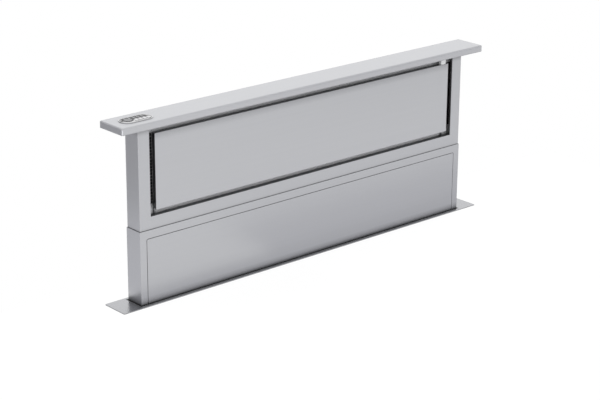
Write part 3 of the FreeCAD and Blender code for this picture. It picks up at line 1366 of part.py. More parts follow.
def control_box():
    """Sheet box on the housing front, its lid and the gland for the supply."""
    sides = ("-Size.box_length / 2", "Size.box_length / 2", "-Size.box_height", "0")
    box = piece("control_box")
    pad(box, "XZ_Plane", 0, "Size.box_depth", (rectangle, *sides))
    cut(box, "XZ_Plane", "Size.sheet", "Size.box_depth", (rectangle, *inset(sides, "Size.sheet")))
    hole = (circle, "-Size.box_depth / 2", "-Size.box_height / 2", "Size.gland_radius")
    cut(box, "YZ_Plane", "Size.box_length / 2 - 2 * Size.sheet", "3 * Size.sheet", hole)
    place(box, "Place.box_x", "-Place.outer_y", "-Size.box_drop")
    lid = piece("control_lid")
    pad(lid, "XZ_Plane", "Size.box_depth", "Size.sheet", (rectangle, *sides))
    place(lid, "Place.box_x", "-Place.outer_y", "-Size.box_drop")
    gland = piece("cable_gland")
    y, z = "-Size.box_depth / 2", "-Size.box_height / 2"
    bore = (circle, y, z, "Size.gland_radius - Size.gland_wall")
    body_circle = (circle, y, z, "Size.gland_radius - Size.fit_clearance")
    nut = (circle, y, z, "Size.gland_radius + Size.gland_wall")
    half = "Size.box_length / 2"
    pad(gland, "YZ_Plane", f"{half} - Size.gland_reach", "Size.gland_reach", body_circle, bore)
    pad(gland, "YZ_Plane", half, "Size.gland_reach", nut, bore)
    place(gland, "Place.box_x", "-Place.outer_y", "-Size.box_drop")


# ------------------------------------------------------------ build

cap()
cap_underplate()
cap_screws()
cap_bumpers()
control_bezel()
pad_inlay()
buttons()
control_board()
upper_skin()
window_lip()
upper_back()
column_head()
filter_rails()
filters()
suction_panel()
hinge_brackets()
hinge_pins()
panel_catch()
rack_legs()
rack_posts()
pinions()
lower_skin()
lower_back()
lower_panel()
access_bar()
cross_member()
bearing_brackets()
shaft_bushes()
sync_shaft()
lift_gearbox()
lift_motor()
base_plate()
plate_collar()
slot_seal()
housing_screws()
housing_wrap()
housing_front()
housing_floor()
guide_pads()
side_brackets()
blower()
inlet_ring()
impeller()
blower_shaft()
blower_motor()
outlet_collar()
damper()
control_box()

doc.recompute()
failed = [item.Name for item in doc.Objects if {"Invalid", "Error"} & set(item.State)]
if failed:
    raise ValueError(f"these objects failed: {failed}")
os.makedirs("parts", exist_ok=True)
for item in SUBPARTS:
    if item.Shape.isNull() or not item.Shape.isValid():
        raise ValueError(f"{item.Label} has no valid shape")
    item.Shape.exportStep(f"parts/{item.Label}.step")
print(len(SUBPARTS), "sub-parts")
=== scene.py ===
import math

import bmesh
import bpy
from mathutils import Euler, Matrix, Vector


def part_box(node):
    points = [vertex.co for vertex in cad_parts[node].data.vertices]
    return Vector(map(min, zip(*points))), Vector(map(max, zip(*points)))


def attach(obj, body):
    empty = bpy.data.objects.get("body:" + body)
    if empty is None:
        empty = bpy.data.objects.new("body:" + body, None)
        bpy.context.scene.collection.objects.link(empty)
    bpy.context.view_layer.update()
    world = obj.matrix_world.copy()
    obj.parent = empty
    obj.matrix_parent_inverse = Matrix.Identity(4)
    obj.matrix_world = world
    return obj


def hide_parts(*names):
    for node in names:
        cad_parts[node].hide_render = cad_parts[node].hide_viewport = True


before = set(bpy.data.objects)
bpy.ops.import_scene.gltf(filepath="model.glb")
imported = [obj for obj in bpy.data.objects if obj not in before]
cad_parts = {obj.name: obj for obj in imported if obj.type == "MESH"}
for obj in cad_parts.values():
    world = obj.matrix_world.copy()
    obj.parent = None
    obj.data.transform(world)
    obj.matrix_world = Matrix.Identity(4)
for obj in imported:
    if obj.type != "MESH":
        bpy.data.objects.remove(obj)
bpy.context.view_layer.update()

# ---------------------------------------------------------------- worktop and studio
# The vent hangs in a pale worktop, cut out for its housing. The camera stands to the front left, as in the
# photograph. The room is plain white, with grey cards that give the steel something to reflect.

photo_place = (-2.19462, -2.47675, 1.27424)
photo_turn = [math.radians(angle) for angle in (70.5851, -0.3776, -41.2725)]
photo_lens = 107.18

lens = bpy.data.cameras.new("photo_lens")
lens.lens = photo_lens
lens.sensor_width = 36
lens.clip_end = 50
camera = bpy.data.objects.new("photo_camera", lens)
camera.location = photo_place
camera.rotation_euler = Euler(photo_turn)
bpy.context.scene.collection.objects.link(camera)
bpy.context.scene.camera = camera

scene = bpy.context.scene
scene.view_settings.view_transform = "Standard"


def new_finish(name):
    """A new material, with its shader and two short calls: one adds a node, one joins two sockets."""
    finish = bpy.data.materials.new(name)
    finish.use_nodes = True
    tree = finish.node_tree
    shader = tree.nodes["Principled BSDF"]

    def add(kind, settings=(), **options):
        node = tree.nodes.new("ShaderNode" + kind)
        for option, choice in options.items():
            setattr(node, option, choice)
        for socket, amount in dict(settings).items():
            node.inputs[socket].default_value = amount
        return node

    return finish, shader, add, tree.links.new


def link_piece(name, mesh, *finishes):
    """An object of this mesh at the origin, with its finishes."""
    piece = bpy.data.objects.new(name, mesh)
    for finish in finishes:
        mesh.materials.append(finish)
    bpy.context.scene.collection.objects.link(piece)
    return piece


def box_faces(mesh, low, high):
    """Adds a closed box to a bmesh."""
    corners = [
        mesh.verts.new([high[axis] if corner >> axis & 1 else low[axis] for axis in range(3)])
        for corner in range(8)
    ]
    for face in ((0, 2, 3, 1), (4, 5, 7, 6), (0, 1, 5, 4), (2, 6, 7, 3), (0, 4, 6, 2), (1, 3, 7, 5)):
        mesh.faces.new([corners[i] for i in face])


def mesh_of(name, made):
    """A finished mesh from a bmesh."""
    mesh = bpy.data.meshes.new(name)
    made.to_mesh(mesh)
    made.free()
    return mesh


room_light = 1.0
world = bpy.data.worlds.new("white_room")
world.use_nodes = True
room = world.node_tree
room.nodes["Background"].inputs["Color"].default_value = (1, 1, 1, 1)
room.nodes["Background"].inputs["Strength"].default_value = room_light
scene.world = world

slab_half_length, slab_front, slab_back, slab_thickness = 0.86, -0.86, 0.12, 0.03
cutout_x, cutout_y, slab_top = 0.4215, 0.0275, -0.0002
slab_glow, slab_glow_share = 1.06, 0.86


def worktop_finish():
    """White laminate: white to the lens and in the steel, with a trace of the vent's shadow."""
    finish, shader, add, join = new_finish("worktop_white")
    shader.inputs["Roughness"].default_value = 0.6
    place = add("TexCoord")
    speckle = add("TexNoise", {"Scale": 60.0, "Detail": 3.0})
    join(place.outputs["Object"], speckle.inputs["Vector"])
    tone = add("ValToRGB")
    tone.color_ramp.elements[0].color = (0.82, 0.82, 0.83, 1)
    tone.color_ramp.elements[1].color = (0.86, 0.86, 0.86, 1)
    join(speckle.outputs["Fac"], tone.inputs["Fac"])
    join(tone.outputs["Color"], shader.inputs["Base Color"])
    glow = add("Emission", {"Color": (1, 1, 1, 1), "Strength": slab_glow})
    path = add("LightPath")
    seen = add("Math", operation="MAXIMUM")
    join(path.outputs["Is Camera Ray"], seen.inputs[0])
    join(path.outputs["Is Glossy Ray"], seen.inputs[1])
    seen_too = add("Math", operation="MAXIMUM")
    join(seen.outputs[0], seen_too.inputs[0])
    join(path.outputs["Is Transmission Ray"], seen_too.inputs[1])
    upward = add("SeparateXYZ")
    join(place.outputs["Normal"], upward.inputs[0])
    on_top = add("Math", operation="GREATER_THAN")
    on_top.inputs[1].default_value = 0.5
    join(upward.outputs["Z"], on_top.inputs[0])
    share = add("Math", operation="MULTIPLY")
    join(seen_too.outputs[0], share.inputs[0])
    join(on_top.outputs[0], share.inputs[1])
    amount = add("Math", operation="MULTIPLY")
    amount.inputs[1].default_value = slab_glow_share
    join(share.outputs[0], amount.inputs[0])
    mixed = add("MixShader")
    join(amount.outputs[0], mixed.inputs[0])
    join(shader.outputs[0], mixed.inputs[1])
    join(glow.outputs[0], mixed.inputs[2])
    end = finish.node_tree.nodes["Material Output"]
    join(mixed.outputs[0], end.inputs["Surface"])
    return finish


slab_mesh = bmesh.new()
slab_low = slab_top - slab_thickness
for low, high in (
    ((-slab_half_length, slab_front, slab_low), (slab_half_length, -cutout_y, slab_top)),
    ((-slab_half_length, cutout_y, slab_low), (slab_half_length, slab_back, slab_top)),
    ((-slab_half_length, -cutout_y, slab_low), (-cutout_x, cutout_y, slab_top)),
    ((cutout_x, -cutout_y, slab_low), (slab_half_length, cutout_y, slab_top)),
):
    box_faces(slab_mesh, low, high)
worktop = link_piece("worktop", mesh_of("worktop", slab_mesh), worktop_finish())


card_blue = 1.03


def reflector(name, grey, corners):
    """A card of one grey that only shows in the steel's reflections."""
    finish, _, add, join = new_finish(name)
    glow = add("Emission", {"Color": (grey, grey, grey * card_blue, 1), "Strength": 1.0})
    join(glow.outputs[0], finish.node_tree.nodes["Material Output"].inputs["Surface"])
    made = bmesh.new()
    made.faces.new([made.verts.new(corner) for corner in corners])
    card = link_piece(name, mesh_of(name, made), finish)
    card.visible_camera = card.visible_diffuse = card.visible_shadow = card.visible_transmission = False


def standing_card(name, grey, start, end, foot, top):
    """An upright reflector between two points of the floor plan."""
    reflector(name, grey, ((*start, foot), (*end, foot), (*end, top), (*start, top)))


def lying_card(name, grey, low, high, lift=0.0004):
    """A reflector flat on the worktop, between two opposite corners."""
    reflector(name, grey, ((*low, lift), (high[0], low[1], lift), (*high, lift), (low[0], high[1], lift)))


# behind the left end, in front on the right, and a bright one for the cap's near corner
standing_card("left_card", 0.52, (-2.2, 0.45), (-0.5, 0.45), foot=-0.02, top=0.6)
standing_card("right_card", 0.66, (0.55, -1.0), (1.5, -1.0), foot=0.06, top=0.75)
standing_card("corner_card", 2.6, (-1.02, -0.328), (-0.82, -0.552), foot=0.06, top=0.26)
# behind the left end, and two in front of the lower column
lying_card("left_mat", 0.82, (-0.95, 0.03), (-0.44, 0.4))
lying_card("right_mat", 0.78, (-0.05, -0.26), (0.85, -0.04))
lying_card("near_mat", 0.7, (-0.6, -0.08), (0.8, -0.033), lift=0.0006)


def soft_lamp(name, place, aim, size, power):
    """A large square lamp turned towards a point."""
    light = bpy.data.lights.new(name, "AREA")
    light.size = size
    light.energy = power
    lamp = bpy.data.objects.new(name, light)
    lamp.location = place
    lamp.rotation_euler = (Vector(aim) - Vector(place)).to_track_quat("-Z", "Y").to_euler()
    bpy.context.scene.collection.objects.link(lamp)


soft_lamp("sky_lamp", place=(2.0, 2.6, 1.8), aim=(0, 0, 0.2), size=2.4, power=3.0)

# ---------------------------------------------------------------- housing
# The sheet metal box under the worktop, folded from galvanised steel and screwed through its lap to the
# collar. It holds the rack posts and carries the blower, and its slotted angles take the cabinet's screws.

housing_zinc = (0.50, 0.52, 0.54)
spangle_size = 0.007


def zinc_sheet():
    """Galvanised sheet: flat crystals of slightly different greys and gloss."""
    finish, shader, add, join = new_finish("galvanised_sheet")
    shader.inputs["Metallic"].default_value = 1.0
    place = add("TexCoord")
    spangle = add("TexVoronoi", {"Scale": 1 / spangle_size, "Randomness": 1.0})
    join(place.outputs["Object"], spangle.inputs["Vector"])
    cloud = add("TexNoise", {"Scale": 14.0, "Detail": 4.0})
    join(place.outputs["Object"], cloud.inputs["Vector"])
    crystal = add("SeparateColor")
    join(spangle.outputs["Color"], crystal.inputs[0])
    tone = add("ValToRGB")
    tone.color_ramp.elements[0].color = (*[shade * 0.80 for shade in housing_zinc], 1)
    tone.color_ramp.elements[1].color = (*[shade * 1.15 for shade in housing_zinc], 1)
    join(crystal.outputs[0], tone.inputs["Fac"])
    dull = add("MixRGB", {"Color2": (*[shade * 0.9 for shade in housing_zinc], 1)})
    join(cloud.outputs["Fac"], dull.inputs["Fac"])
    join(tone.outputs["Color"], dull.inputs["Color1"])
    join(dull.outputs["Color"], shader.inputs["Base Color"])
    gloss = add("MapRange", {"To Min": 0.30, "To Max": 0.48})
    join(crystal.outputs[1], gloss.inputs["Value"])
    join(gloss.outputs["Result"], shader.inputs["Roughness"])
    relief = add("Bump", {"Strength": 0.15, "Distance": 0.0002})
    join(crystal.outputs[2], relief.inputs["Height"])
    join(relief.outputs["Normal"], shader.inputs["Normal"])
    return finish


def dress(finish, *names):
    """Gives carried-over pieces their finish."""
    for name in names:
        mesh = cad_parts[name].data
        mesh.materials.clear()
        mesh.materials.append(finish)


zinc = zinc_sheet()
dress(zinc, "housing_wrap", "housing_front", "housing_floor", "side_brackets")


def turned_steel(name, tone, rough, rings, axis):
    """Bright steel turned or drawn along an axis: fine rings across it."""
    finish, shader, add, join = new_finish(name)
    shader.inputs["Metallic"].default_value = 1.0
    place = add("TexCoord")
    ring = add("TexWave", {"Scale": rings, "Distortion": 1.5, "Detail": 3.0}, bands_direction=axis)
    join(place.outputs["Object"], ring.inputs["Vector"])
    film = add("TexNoise", {"Scale": 40.0, "Detail": 5.0})
    join(place.outputs["Object"], film.inputs["Vector"])
    shade = add("ValToRGB")
    shade.color_ramp.elements[0].color = (*[part * 0.86 for part in tone], 1)
    shade.color_ramp.elements[1].color = (*tone, 1)
    join(film.outputs["Fac"], shade.inputs["Fac"])
    join(shade.outputs["Color"], shader.inputs["Base Color"])
    gloss = add("MapRange", {"To Min": rough * 0.8, "To Max": rough * 1.3})
    join(film.outputs["Fac"], gloss.inputs["Value"])
    join(gloss.outputs["Result"], shader.inputs["Roughness"])
    relief = add("Bump", {"Strength": 0.2, "Distance": 0.00005})
    join(ring.outputs["Fac"], relief.inputs["Height"])
    join(relief.outputs["Normal"], shader.inputs["Normal"])
    return finish


screw_zinc = turned_steel("zinc_plated_screw", (0.62, 0.63, 0.62), 0.30, 900.0, "Y")
dress(screw_zinc, "housing_screws")

# ---------------------------------------------------------------- rack posts and guide pads
# Toothed steel posts are welded on webs inside the housing, and the lift's large gears climb them.
# Nylon pads on the housing's walls guide the lower column.

rack_steel = turned_steel("milled_rack_steel", (0.50, 0.50, 0.51), 0.34, 500.0, "Z")
dress(rack_steel, "rack_posts", "post_webs")


def moulded(name, tone, rough, grain, lift):
    """Moulded plastic or rubber: a fine even grain with slightly uneven gloss."""
    finish, shader, add, join = new_finish(name)
    place = add("TexCoord")
    pores = add("TexNoise", {"Scale": grain, "Detail": 4.0})
    join(place.outputs["Object"], pores.inputs["Vector"])
    cloud = add("TexNoise", {"Scale": 25.0, "Detail": 3.0})
    join(place.outputs["Object"], cloud.inputs["Vector"])
    shade = add("ValToRGB")
    shade.color_ramp.elements[0].color = (*[part * 0.85 for part in tone], 1)
    shade.color_ramp.elements[1].color = (*[min(part * 1.12, 1) for part in tone], 1)
    join(cloud.outputs["Fac"], shade.inputs["Fac"])
    join(shade.outputs["Color"], shader.inputs["Base Color"])
    gloss = add("MapRange", {"To Min": rough * 0.85, "To Max": rough * 1.2})
    join(cloud.outputs["Fac"], gloss.inputs["Value"])
    join(gloss.outputs["Result"], shader.inputs["Roughness"])
    relief = add("Bump", {"Strength": lift, "Distance": 0.0001})
    join(pores.outputs["Fac"], relief.inputs["Height"])
    join(relief.outputs["Normal"], shader.inputs["Normal"])
    return finish


nylon = moulded("guide_nylon", (0.80, 0.79, 0.74), 0.42, 900.0, 0.15)
dress(nylon, "guide_pads")

# ---------------------------------------------------------------- worktop plate
# Thin brushed stainless plate that lies on the worktop, with its collar welded in.
# Its grain runs along the plate, and a rubber lip seal lines its slot.

steel_tone = (0.503, 0.508, 0.528)
fold_radius = 0.0012
along_grain, across_grain, broad_share = 9, 1400, 0.16
# painted shade: the share of the tone that is left in the deepest nooks
streak_change, gloss_change, painted_nook_shade, end_facing = 0.015, 0.05, 0.12, 0.7


def brushed_steel(name, tone=steel_tone, rough=0.34, painted_shade_reach=0.016, painted_shade_depth=1.6, fold=fold_radius):
    """Stainless sheet brushed along its length.

    The grain follows the sheet round the ends, and its folds are rounded. Painted shade darkens its base colour
    in its nooks, by ambient occlusion.
    """
    finish, shader, add, join = new_finish(name)
    shader.inputs["Metallic"].default_value = 1.0
    place = add("TexCoord")
    lengthwise = add("Mapping")
    lengthwise.inputs["Scale"].default_value = (along_grain, across_grain, across_grain)
    join(place.outputs["Object"], lengthwise.inputs["Vector"])
    crosswise = add("Mapping")
    crosswise.inputs["Scale"].default_value = (across_grain, along_grain, across_grain)
    join(place.outputs["Object"], crosswise.inputs["Vector"])
    facing = add("SeparateXYZ")
    join(place.outputs["Normal"], facing.inputs[0])
    side = add("Math", operation="ABSOLUTE")
    join(facing.outputs["X"], side.inputs[0])
    on_end = add("Math", operation="GREATER_THAN")
    on_end.inputs[1].default_value = end_facing
    join(side.outputs[0], on_end.inputs[0])
    way = add("Mix", data_type="VECTOR")
    join(on_end.outputs[0], way.inputs["Factor"])
    join(lengthwise.outputs["Vector"], way.inputs[4])
    join(crosswise.outputs["Vector"], way.inputs[5])
    grain = add("TexNoise", {"Scale": 1.0, "Detail": 5.0, "Roughness": 0.62})
    join(way.outputs[1], grain.inputs["Vector"])
    broad = add("Mapping")
    broad.inputs["Scale"].default_value = (broad_share, broad_share, broad_share)
    join(way.outputs[1], broad.inputs["Vector"])
    band = add("TexNoise", {"Scale": 1.0, "Detail": 3.0, "Roughness": 0.5})
    join(broad.outputs["Vector"], band.inputs["Vector"])
    cloud = add("TexNoise", {"Scale": 5.0, "Detail": 3.0, "Roughness": 0.5})
    join(place.outputs["Object"], cloud.inputs["Vector"])
    both = add("Math", operation="ADD")
    join(grain.outputs["Fac"], both.inputs[0])
    join(band.outputs["Fac"], both.inputs[1])
    half = add("Math", operation="MULTIPLY")
    half.inputs[1].default_value = 0.5
    join(both.outputs[0], half.inputs[0])
    shade = add("ValToRGB")
    shade.color_ramp.elements[0].position = 0.3
    shade.color_ramp.elements[0].color = (*[part * (1 - streak_change) for part in tone], 1)
    shade.color_ramp.elements[1].position = 0.7
    shade.color_ramp.elements[1].color = (*[part * (1 + streak_change) for part in tone], 1)
    join(half.outputs[0], shade.inputs["Fac"])
    # painted shade: ambient occlusion mixes the base colour towards a dark copy of the tone in nooks, corners
    # and gaps
    painted_shade_ao = add("AmbientOcclusion", {"Distance": painted_shade_reach}, samples=12)
    painted_shade_power = add("Math", operation="POWER")
    painted_shade_power.inputs[1].default_value = painted_shade_depth
    join(painted_shade_ao.outputs["AO"], painted_shade_power.inputs[0])
    painted_shade_mix = add("MixRGB", {"Color1": (*[part * painted_nook_shade for part in tone], 1)})
    join(painted_shade_power.outputs[0], painted_shade_mix.inputs["Fac"])
    join(shade.outputs["Color"], painted_shade_mix.inputs["Color2"])
    join(painted_shade_mix.outputs["Color"], shader.inputs["Base Color"])
    worn = add("Math", operation="ADD")
    join(half.outputs[0], worn.inputs[0])
    join(cloud.outputs["Fac"], worn.inputs[1])
    gloss = add("MapRange", {
        "From Min": 0.6, "From Max": 1.4,
        "To Min": rough * (1 - gloss_change), "To Max": rough * (1 + gloss_change),
    })
    join(worn.outputs[0], gloss.inputs["Value"])
    join(gloss.outputs["Result"], shader.inputs["Roughness"])
    rounded = add("Bevel", {"Radius": fold}, samples=6)
    relief = add("Bump", {"Strength": 0.08, "Distance": 0.00003})
    join(grain.outputs["Fac"], relief.inputs["Height"])
    join(rounded.outputs["Normal"], relief.inputs["Normal"])
    join(relief.outputs["Normal"], shader.inputs["Normal"])
    return finish


# painted shade: the plate is darkened only faintly in its nooks
plate_steel = brushed_steel(
    "plate_steel", tone=(0.420, 0.424, 0.440), rough=0.26, painted_shade_reach=0.002, painted_shade_depth=0.8,
)
dress(plate_steel, "base_plate", "plate_collar")
seal_rubber = moulded("seal_rubber", (0.022, 0.022, 0.024), 0.55, 1200.0, 0.2)
dress(seal_rubber, "slot_seal")

# ---------------------------------------------------------------- blower
# A centrifugal blower of galvanised sheet on the housing's front, with a pressed wheel on the motor's shaft.
# The duct collar below it holds a sprung flap.

dress(zinc, "blower_casing", "blower_front", "inlet_ring", "outlet_collar", "damper_flap")
wheel_zinc = turned_steel("pressed_wheel_zinc", (0.56, 0.57, 0.58), 0.36, 200.0, "Y")
dress(wheel_zinc, "impeller")
shaft_steel = turned_steel("ground_shaft_steel", (0.60, 0.60, 0.61), 0.22, 1500.0, "Y")
dress(shaft_steel, "blower_shaft")
pin_steel = turned_steel("drawn_pin_steel", (0.60, 0.60, 0.61), 0.24, 1500.0, "X")
dress(pin_steel, "damper_pin")
motor_paint = moulded("motor_black_paint", (0.028, 0.028, 0.030), 0.38, 350.0, 0.25)
dress(motor_paint, "blower_motor")

# ---------------------------------------------------------------- control box
# The electronics' box on the housing's right, folded from galvanised sheet with a screwed lid.
# A nylon gland takes the supply cable.

dress(zinc, "control_box", "control_lid")
gland_nylon = moulded("gland_nylon", (0.045, 0.045, 0.048), 0.45, 800.0, 0.2)
dress(gland_nylon, "cable_gland")

# ---------------------------------------------------------------- lower column
# The first stage: a brushed stainless sleeve with its removable front panel. Under it are the cross
# member and the shaft with its gears, which the gearmotor turns.

column_steel = brushed_steel("column_steel")
dress(column_steel, "lower_skin", "lower_back", "lower_panel")
dress(zinc, "access_bar", "cross_member", "bearing_brackets")
bush_bronze = turned_steel("bush_bronze", (0.52, 0.36, 0.19), 0.36, 1200.0, "X")
dress(bush_bronze, "shaft_bushes")
gear_steel = turned_steel("gear_steel", (0.52, 0.52, 0.53), 0.30, 1100.0, "X")
dress(gear_steel, "sync_shaft", "small_pinions", "large_pinions")
gearbox_alloy = moulded("cast_gearbox", (0.42, 0.43, 0.44), 0.45, 420.0, 0.5)
gearbox_alloy.node_tree.nodes["Principled BSDF"].inputs["Metallic"].default_value = 1.0
dress(gearbox_alloy, "lift_gearbox")
dress(motor_paint, "lift_motor")

# ---------------------------------------------------------------- upper column
# The second stage: a brushed stainless sleeve with the suction window, its head plate, the filters' two
# folded rails, and the toothed legs that the small gears drive.

dress(column_steel, "upper_skin", "upper_back", "hinge_brackets")
dress(zinc, "column_head")
dress(rack_steel, "rack_legs")

window_x, window_low, window_high = 0.387, 0.169, 0.3345
lip_front, lip_depth, sill_depth, lip_sheet = -0.018, 0.004, 0.0105, 0.001


def window_frame():
    """The sheet's edge turned in round the window, deeper along the sill."""
    lip = bmesh.new()
    lip_back = lip_front + lip_depth
    for side in (-1, 1):
        near, far = sorted((side * window_x, side * (window_x + lip_sheet)))
        box_faces(lip, (near, lip_front, window_low), (far, lip_back, window_high + lip_sheet))
    box_faces(lip, (-window_x, lip_front, window_high), (window_x, lip_back, window_high + lip_sheet))
    sill_back = lip_front + sill_depth
    box_faces(lip, (-window_x, lip_front, window_low - lip_sheet), (window_x, sill_back, window_low))
    return mesh_of("window_edge", lip)


# painted shade: the window's turned-in edge is darkened deeply in its nooks
lip_steel = brushed_steel("lip_steel", rough=0.4, painted_shade_reach=0.02, painted_shade_depth=2.2)
window_edge = link_piece("window_edge", window_frame(), lip_steel)
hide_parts("window_lip")
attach(window_edge, "upper_column")

rail_length, rail_front, rail_back, rail_sheet = 0.822, -0.0065, 0.0055, 0.001
lower_web, lower_front_edge, lower_back_edge = 0.164, 0.188, 0.171
upper_web, upper_edge = 0.338, 0.323
rail_metallic = 0.55


def folded_strip(mesh, profile, length):
    """Adds a strip folded to a profile of (y, z) corners, centred along x."""
    ends = [[mesh.verts.new((x, y, z)) for y, z in profile] for x in (-length / 2, length / 2)]
    mesh.faces.new(ends[0])
    mesh.faces.new(ends[1])
    for corner in range(len(profile)):
        mesh.faces.new((ends[0][corner - 1], ends[0][corner], ends[1][corner], ends[1][corner - 1]))
    bmesh.ops.recalc_face_normals(mesh, faces=mesh.faces)


def rail_profile(web, inner, front_edge, back_edge):
    """The corners of a channel, as (y, z): its web, a flange at the back and one at the front."""
    return (
        (rail_front, web), (rail_back, web),
        (rail_back, back_edge), (rail_back - rail_sheet, back_edge),
        (rail_back - rail_sheet, inner), (rail_front + rail_sheet, inner),
        (rail_front + rail_sheet, front_edge), (rail_front, front_edge),
    )


rail_sheets = bmesh.new()
lower_rail = rail_profile(lower_web, lower_web + rail_sheet, lower_front_edge, lower_back_edge)
upper_rail = rail_profile(upper_web, upper_web - rail_sheet, upper_edge, upper_edge)
folded_strip(rail_sheets, lower_rail, rail_length)
folded_strip(rail_sheets, upper_rail, rail_length)
# painted shade: the rails are darkened only faintly in their nooks
rail_steel = brushed_steel(
    "rail_steel", tone=(0.60, 0.605, 0.62), rough=0.5, painted_shade_reach=0.002, painted_shade_depth=0.4,
)
rail_steel.node_tree.nodes["Principled BSDF"].inputs["Metallic"].default_value = rail_metallic
filter_rail = link_piece("filter_rail_sheets", mesh_of("filter_rail_sheets", rail_sheets), rail_steel)
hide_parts("filter_rails")
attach(filter_rail, "upper_column")

# ---------------------------------------------------------------- filters
# Two grease filters side by side behind the window: packed layers of aluminium mesh in folded frames.
# Crimped wires cover both faces of each. The frames stand in the column's rails and lift out for washing.

filter_alloy = turned_steel("filter_aluminium", (0.70, 0.70, 0.71), 0.34, 600.0, "Z")
dress(filter_alloy, "filter_frame_left", "filter_frame_right")

wire_pitch, wire_radius, wire_crimp = 0.006, 0.00045, 0.0005
wire_faces = (-0.0036, 0.0026)


def wire_mesh_tree(finish):
    """Crimped wires crossing at a pitch, over a rectangle that stands in the xz plane."""
    tree = bpy.data.node_groups.new("filter_wires", "GeometryNodeTree")
    tree.interface.new_socket("Wires", in_out="OUTPUT", socket_type="NodeSocketGeometry")
    tree.interface.new_socket("Ground", in_out="INPUT", socket_type="NodeSocketGeometry")
    for name in ("Width", "Height", "Pitch", "Wire radius", "Crimp"):
        tree.interface.new_socket(name, in_out="INPUT", socket_type="NodeSocketFloat")
    tree.interface.new_socket("Middle", in_out="INPUT", socket_type="NodeSocketVector")

    def add(kind, **options):
        node = tree.nodes.new(kind)
        for option, choice in options.items():
            setattr(node, option, choice)
        return node

    def sum_of(operation, first, second):
        node = add("ShaderNodeMath", operation=operation)
        for socket, amount in zip(node.inputs, (first, second)):
            if isinstance(amount, (int, float)):
                socket.default_value = amount
            else:
                tree.links.new(amount, socket)
        return node.outputs[0]

    given = add("NodeGroupInput").outputs
    grid = add("GeometryNodeMeshGrid")
    tree.links.new(given["Width"], grid.inputs["Size X"])
    tree.links.new(given["Height"], grid.inputs["Size Y"])
    across = sum_of("ADD", sum_of("ROUND", sum_of("DIVIDE", given["Width"], given["Pitch"]), 0), 1)
    pairs = sum_of("ROUND", sum_of("DIVIDE", given["Height"], sum_of("MULTIPLY", given["Pitch"], 2)), 0)
    tree.links.new(across, grid.inputs["Vertices X"])
    tree.links.new(sum_of("ADD", sum_of("MULTIPLY", pairs, 2), 1), grid.inputs["Vertices Y"])
    # an odd count up the mesh makes neighbours odd and even in turn, both ways
    turn = sum_of("SUBTRACT", sum_of("MODULO", add("GeometryNodeInputIndex").outputs[0], 2), 0.5)
    shift = add("ShaderNodeCombineXYZ")
    tree.links.new(sum_of("MULTIPLY", turn, given["Crimp"]), shift.inputs["Z"])
    crimped = add("GeometryNodeSetPosition")
    tree.links.new(grid.outputs["Mesh"], crimped.inputs["Geometry"])
    tree.links.new(shift.outputs[0], crimped.inputs["Offset"])
    paths = add("GeometryNodeMeshToCurve")
    tree.links.new(crimped.outputs[0], paths.inputs["Mesh"])
    section = add("GeometryNodeCurvePrimitiveCircle")
    section.inputs["Resolution"].default_value = 3
    tree.links.new(given["Wire radius"], section.inputs["Radius"])
    wires = add("GeometryNodeCurveToMesh")
    wires.inputs["Fill Caps"].default_value = True
    tree.links.new(paths.outputs[0], wires.inputs["Curve"])
    tree.links.new(section.outputs[0], wires.inputs["Profile Curve"])
    upright = add("GeometryNodeTransform")
    upright.inputs["Rotation"].default_value = (math.pi / 2, 0, 0)
    tree.links.new(wires.outputs[0], upright.inputs["Geometry"])
    tree.links.new(given["Middle"], upright.inputs["Translation"])
    real = add("GeometryNodeRealizeInstances")
    tree.links.new(upright.outputs[0], real.inputs[0])
    dressed = add("GeometryNodeSetMaterial")
    dressed.inputs["Material"].default_value = finish
    tree.links.new(real.outputs[0], dressed.inputs[0])
    tree.links.new(dressed.outputs[0], add("NodeGroupOutput").inputs[0])
    return tree


def grown_mesh(tree, **sizes):
    """The plain mesh that a node tree makes with these sizes, its inputs named in words with underscores."""
    holder = link_piece("holder", bpy.data.meshes.new("holder"))
    growth = holder.modifiers.new("growth", "NODES")
    growth.node_group = tree
    sockets = {item.name: item.identifier for item in tree.interface.items_tree if item.in_out == "INPUT"}
    for name, amount in sizes.items():
        growth[sockets[name.replace("_", " ")]] = amount
    evaluated = holder.evaluated_get(bpy.context.evaluated_depsgraph_get())
    mesh = bpy.data.meshes.new_from_object(evaluated)
    bpy.data.objects.remove(holder)
    return mesh


wire_alloy = turned_steel("filter_wire_aluminium", (0.66, 0.66, 0.67), 0.38, 900.0, "X")
wire_tree = wire_mesh_tree(wire_alloy)
filter_low, filter_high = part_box("filter_meshes")
between_filters, wire_inset = 0.017, 0.002
filter_width = (filter_high[0] - filter_low[0] - between_filters) / 2
filter_height = filter_high[2] - filter_low[2]
layers = bmesh.new()
for side in (-1, 1):
    for face in wire_faces:
        middle = (side * (between_filters + filter_width) / 2, face, (filter_low[2] + filter_high[2]) / 2)
        layer = grown_mesh(
            wire_tree, Width=filter_width - wire_inset, Height=filter_height - wire_inset,
            Pitch=wire_pitch, Wire_radius=wire_radius, Crimp=wire_crimp, Middle=middle,
        )
        layers.from_mesh(layer)
        bpy.data.meshes.remove(layer)
filter_wires = link_piece("filter_wires", mesh_of("filter_wires", layers), wire_alloy)
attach(filter_wires, "upper_column")


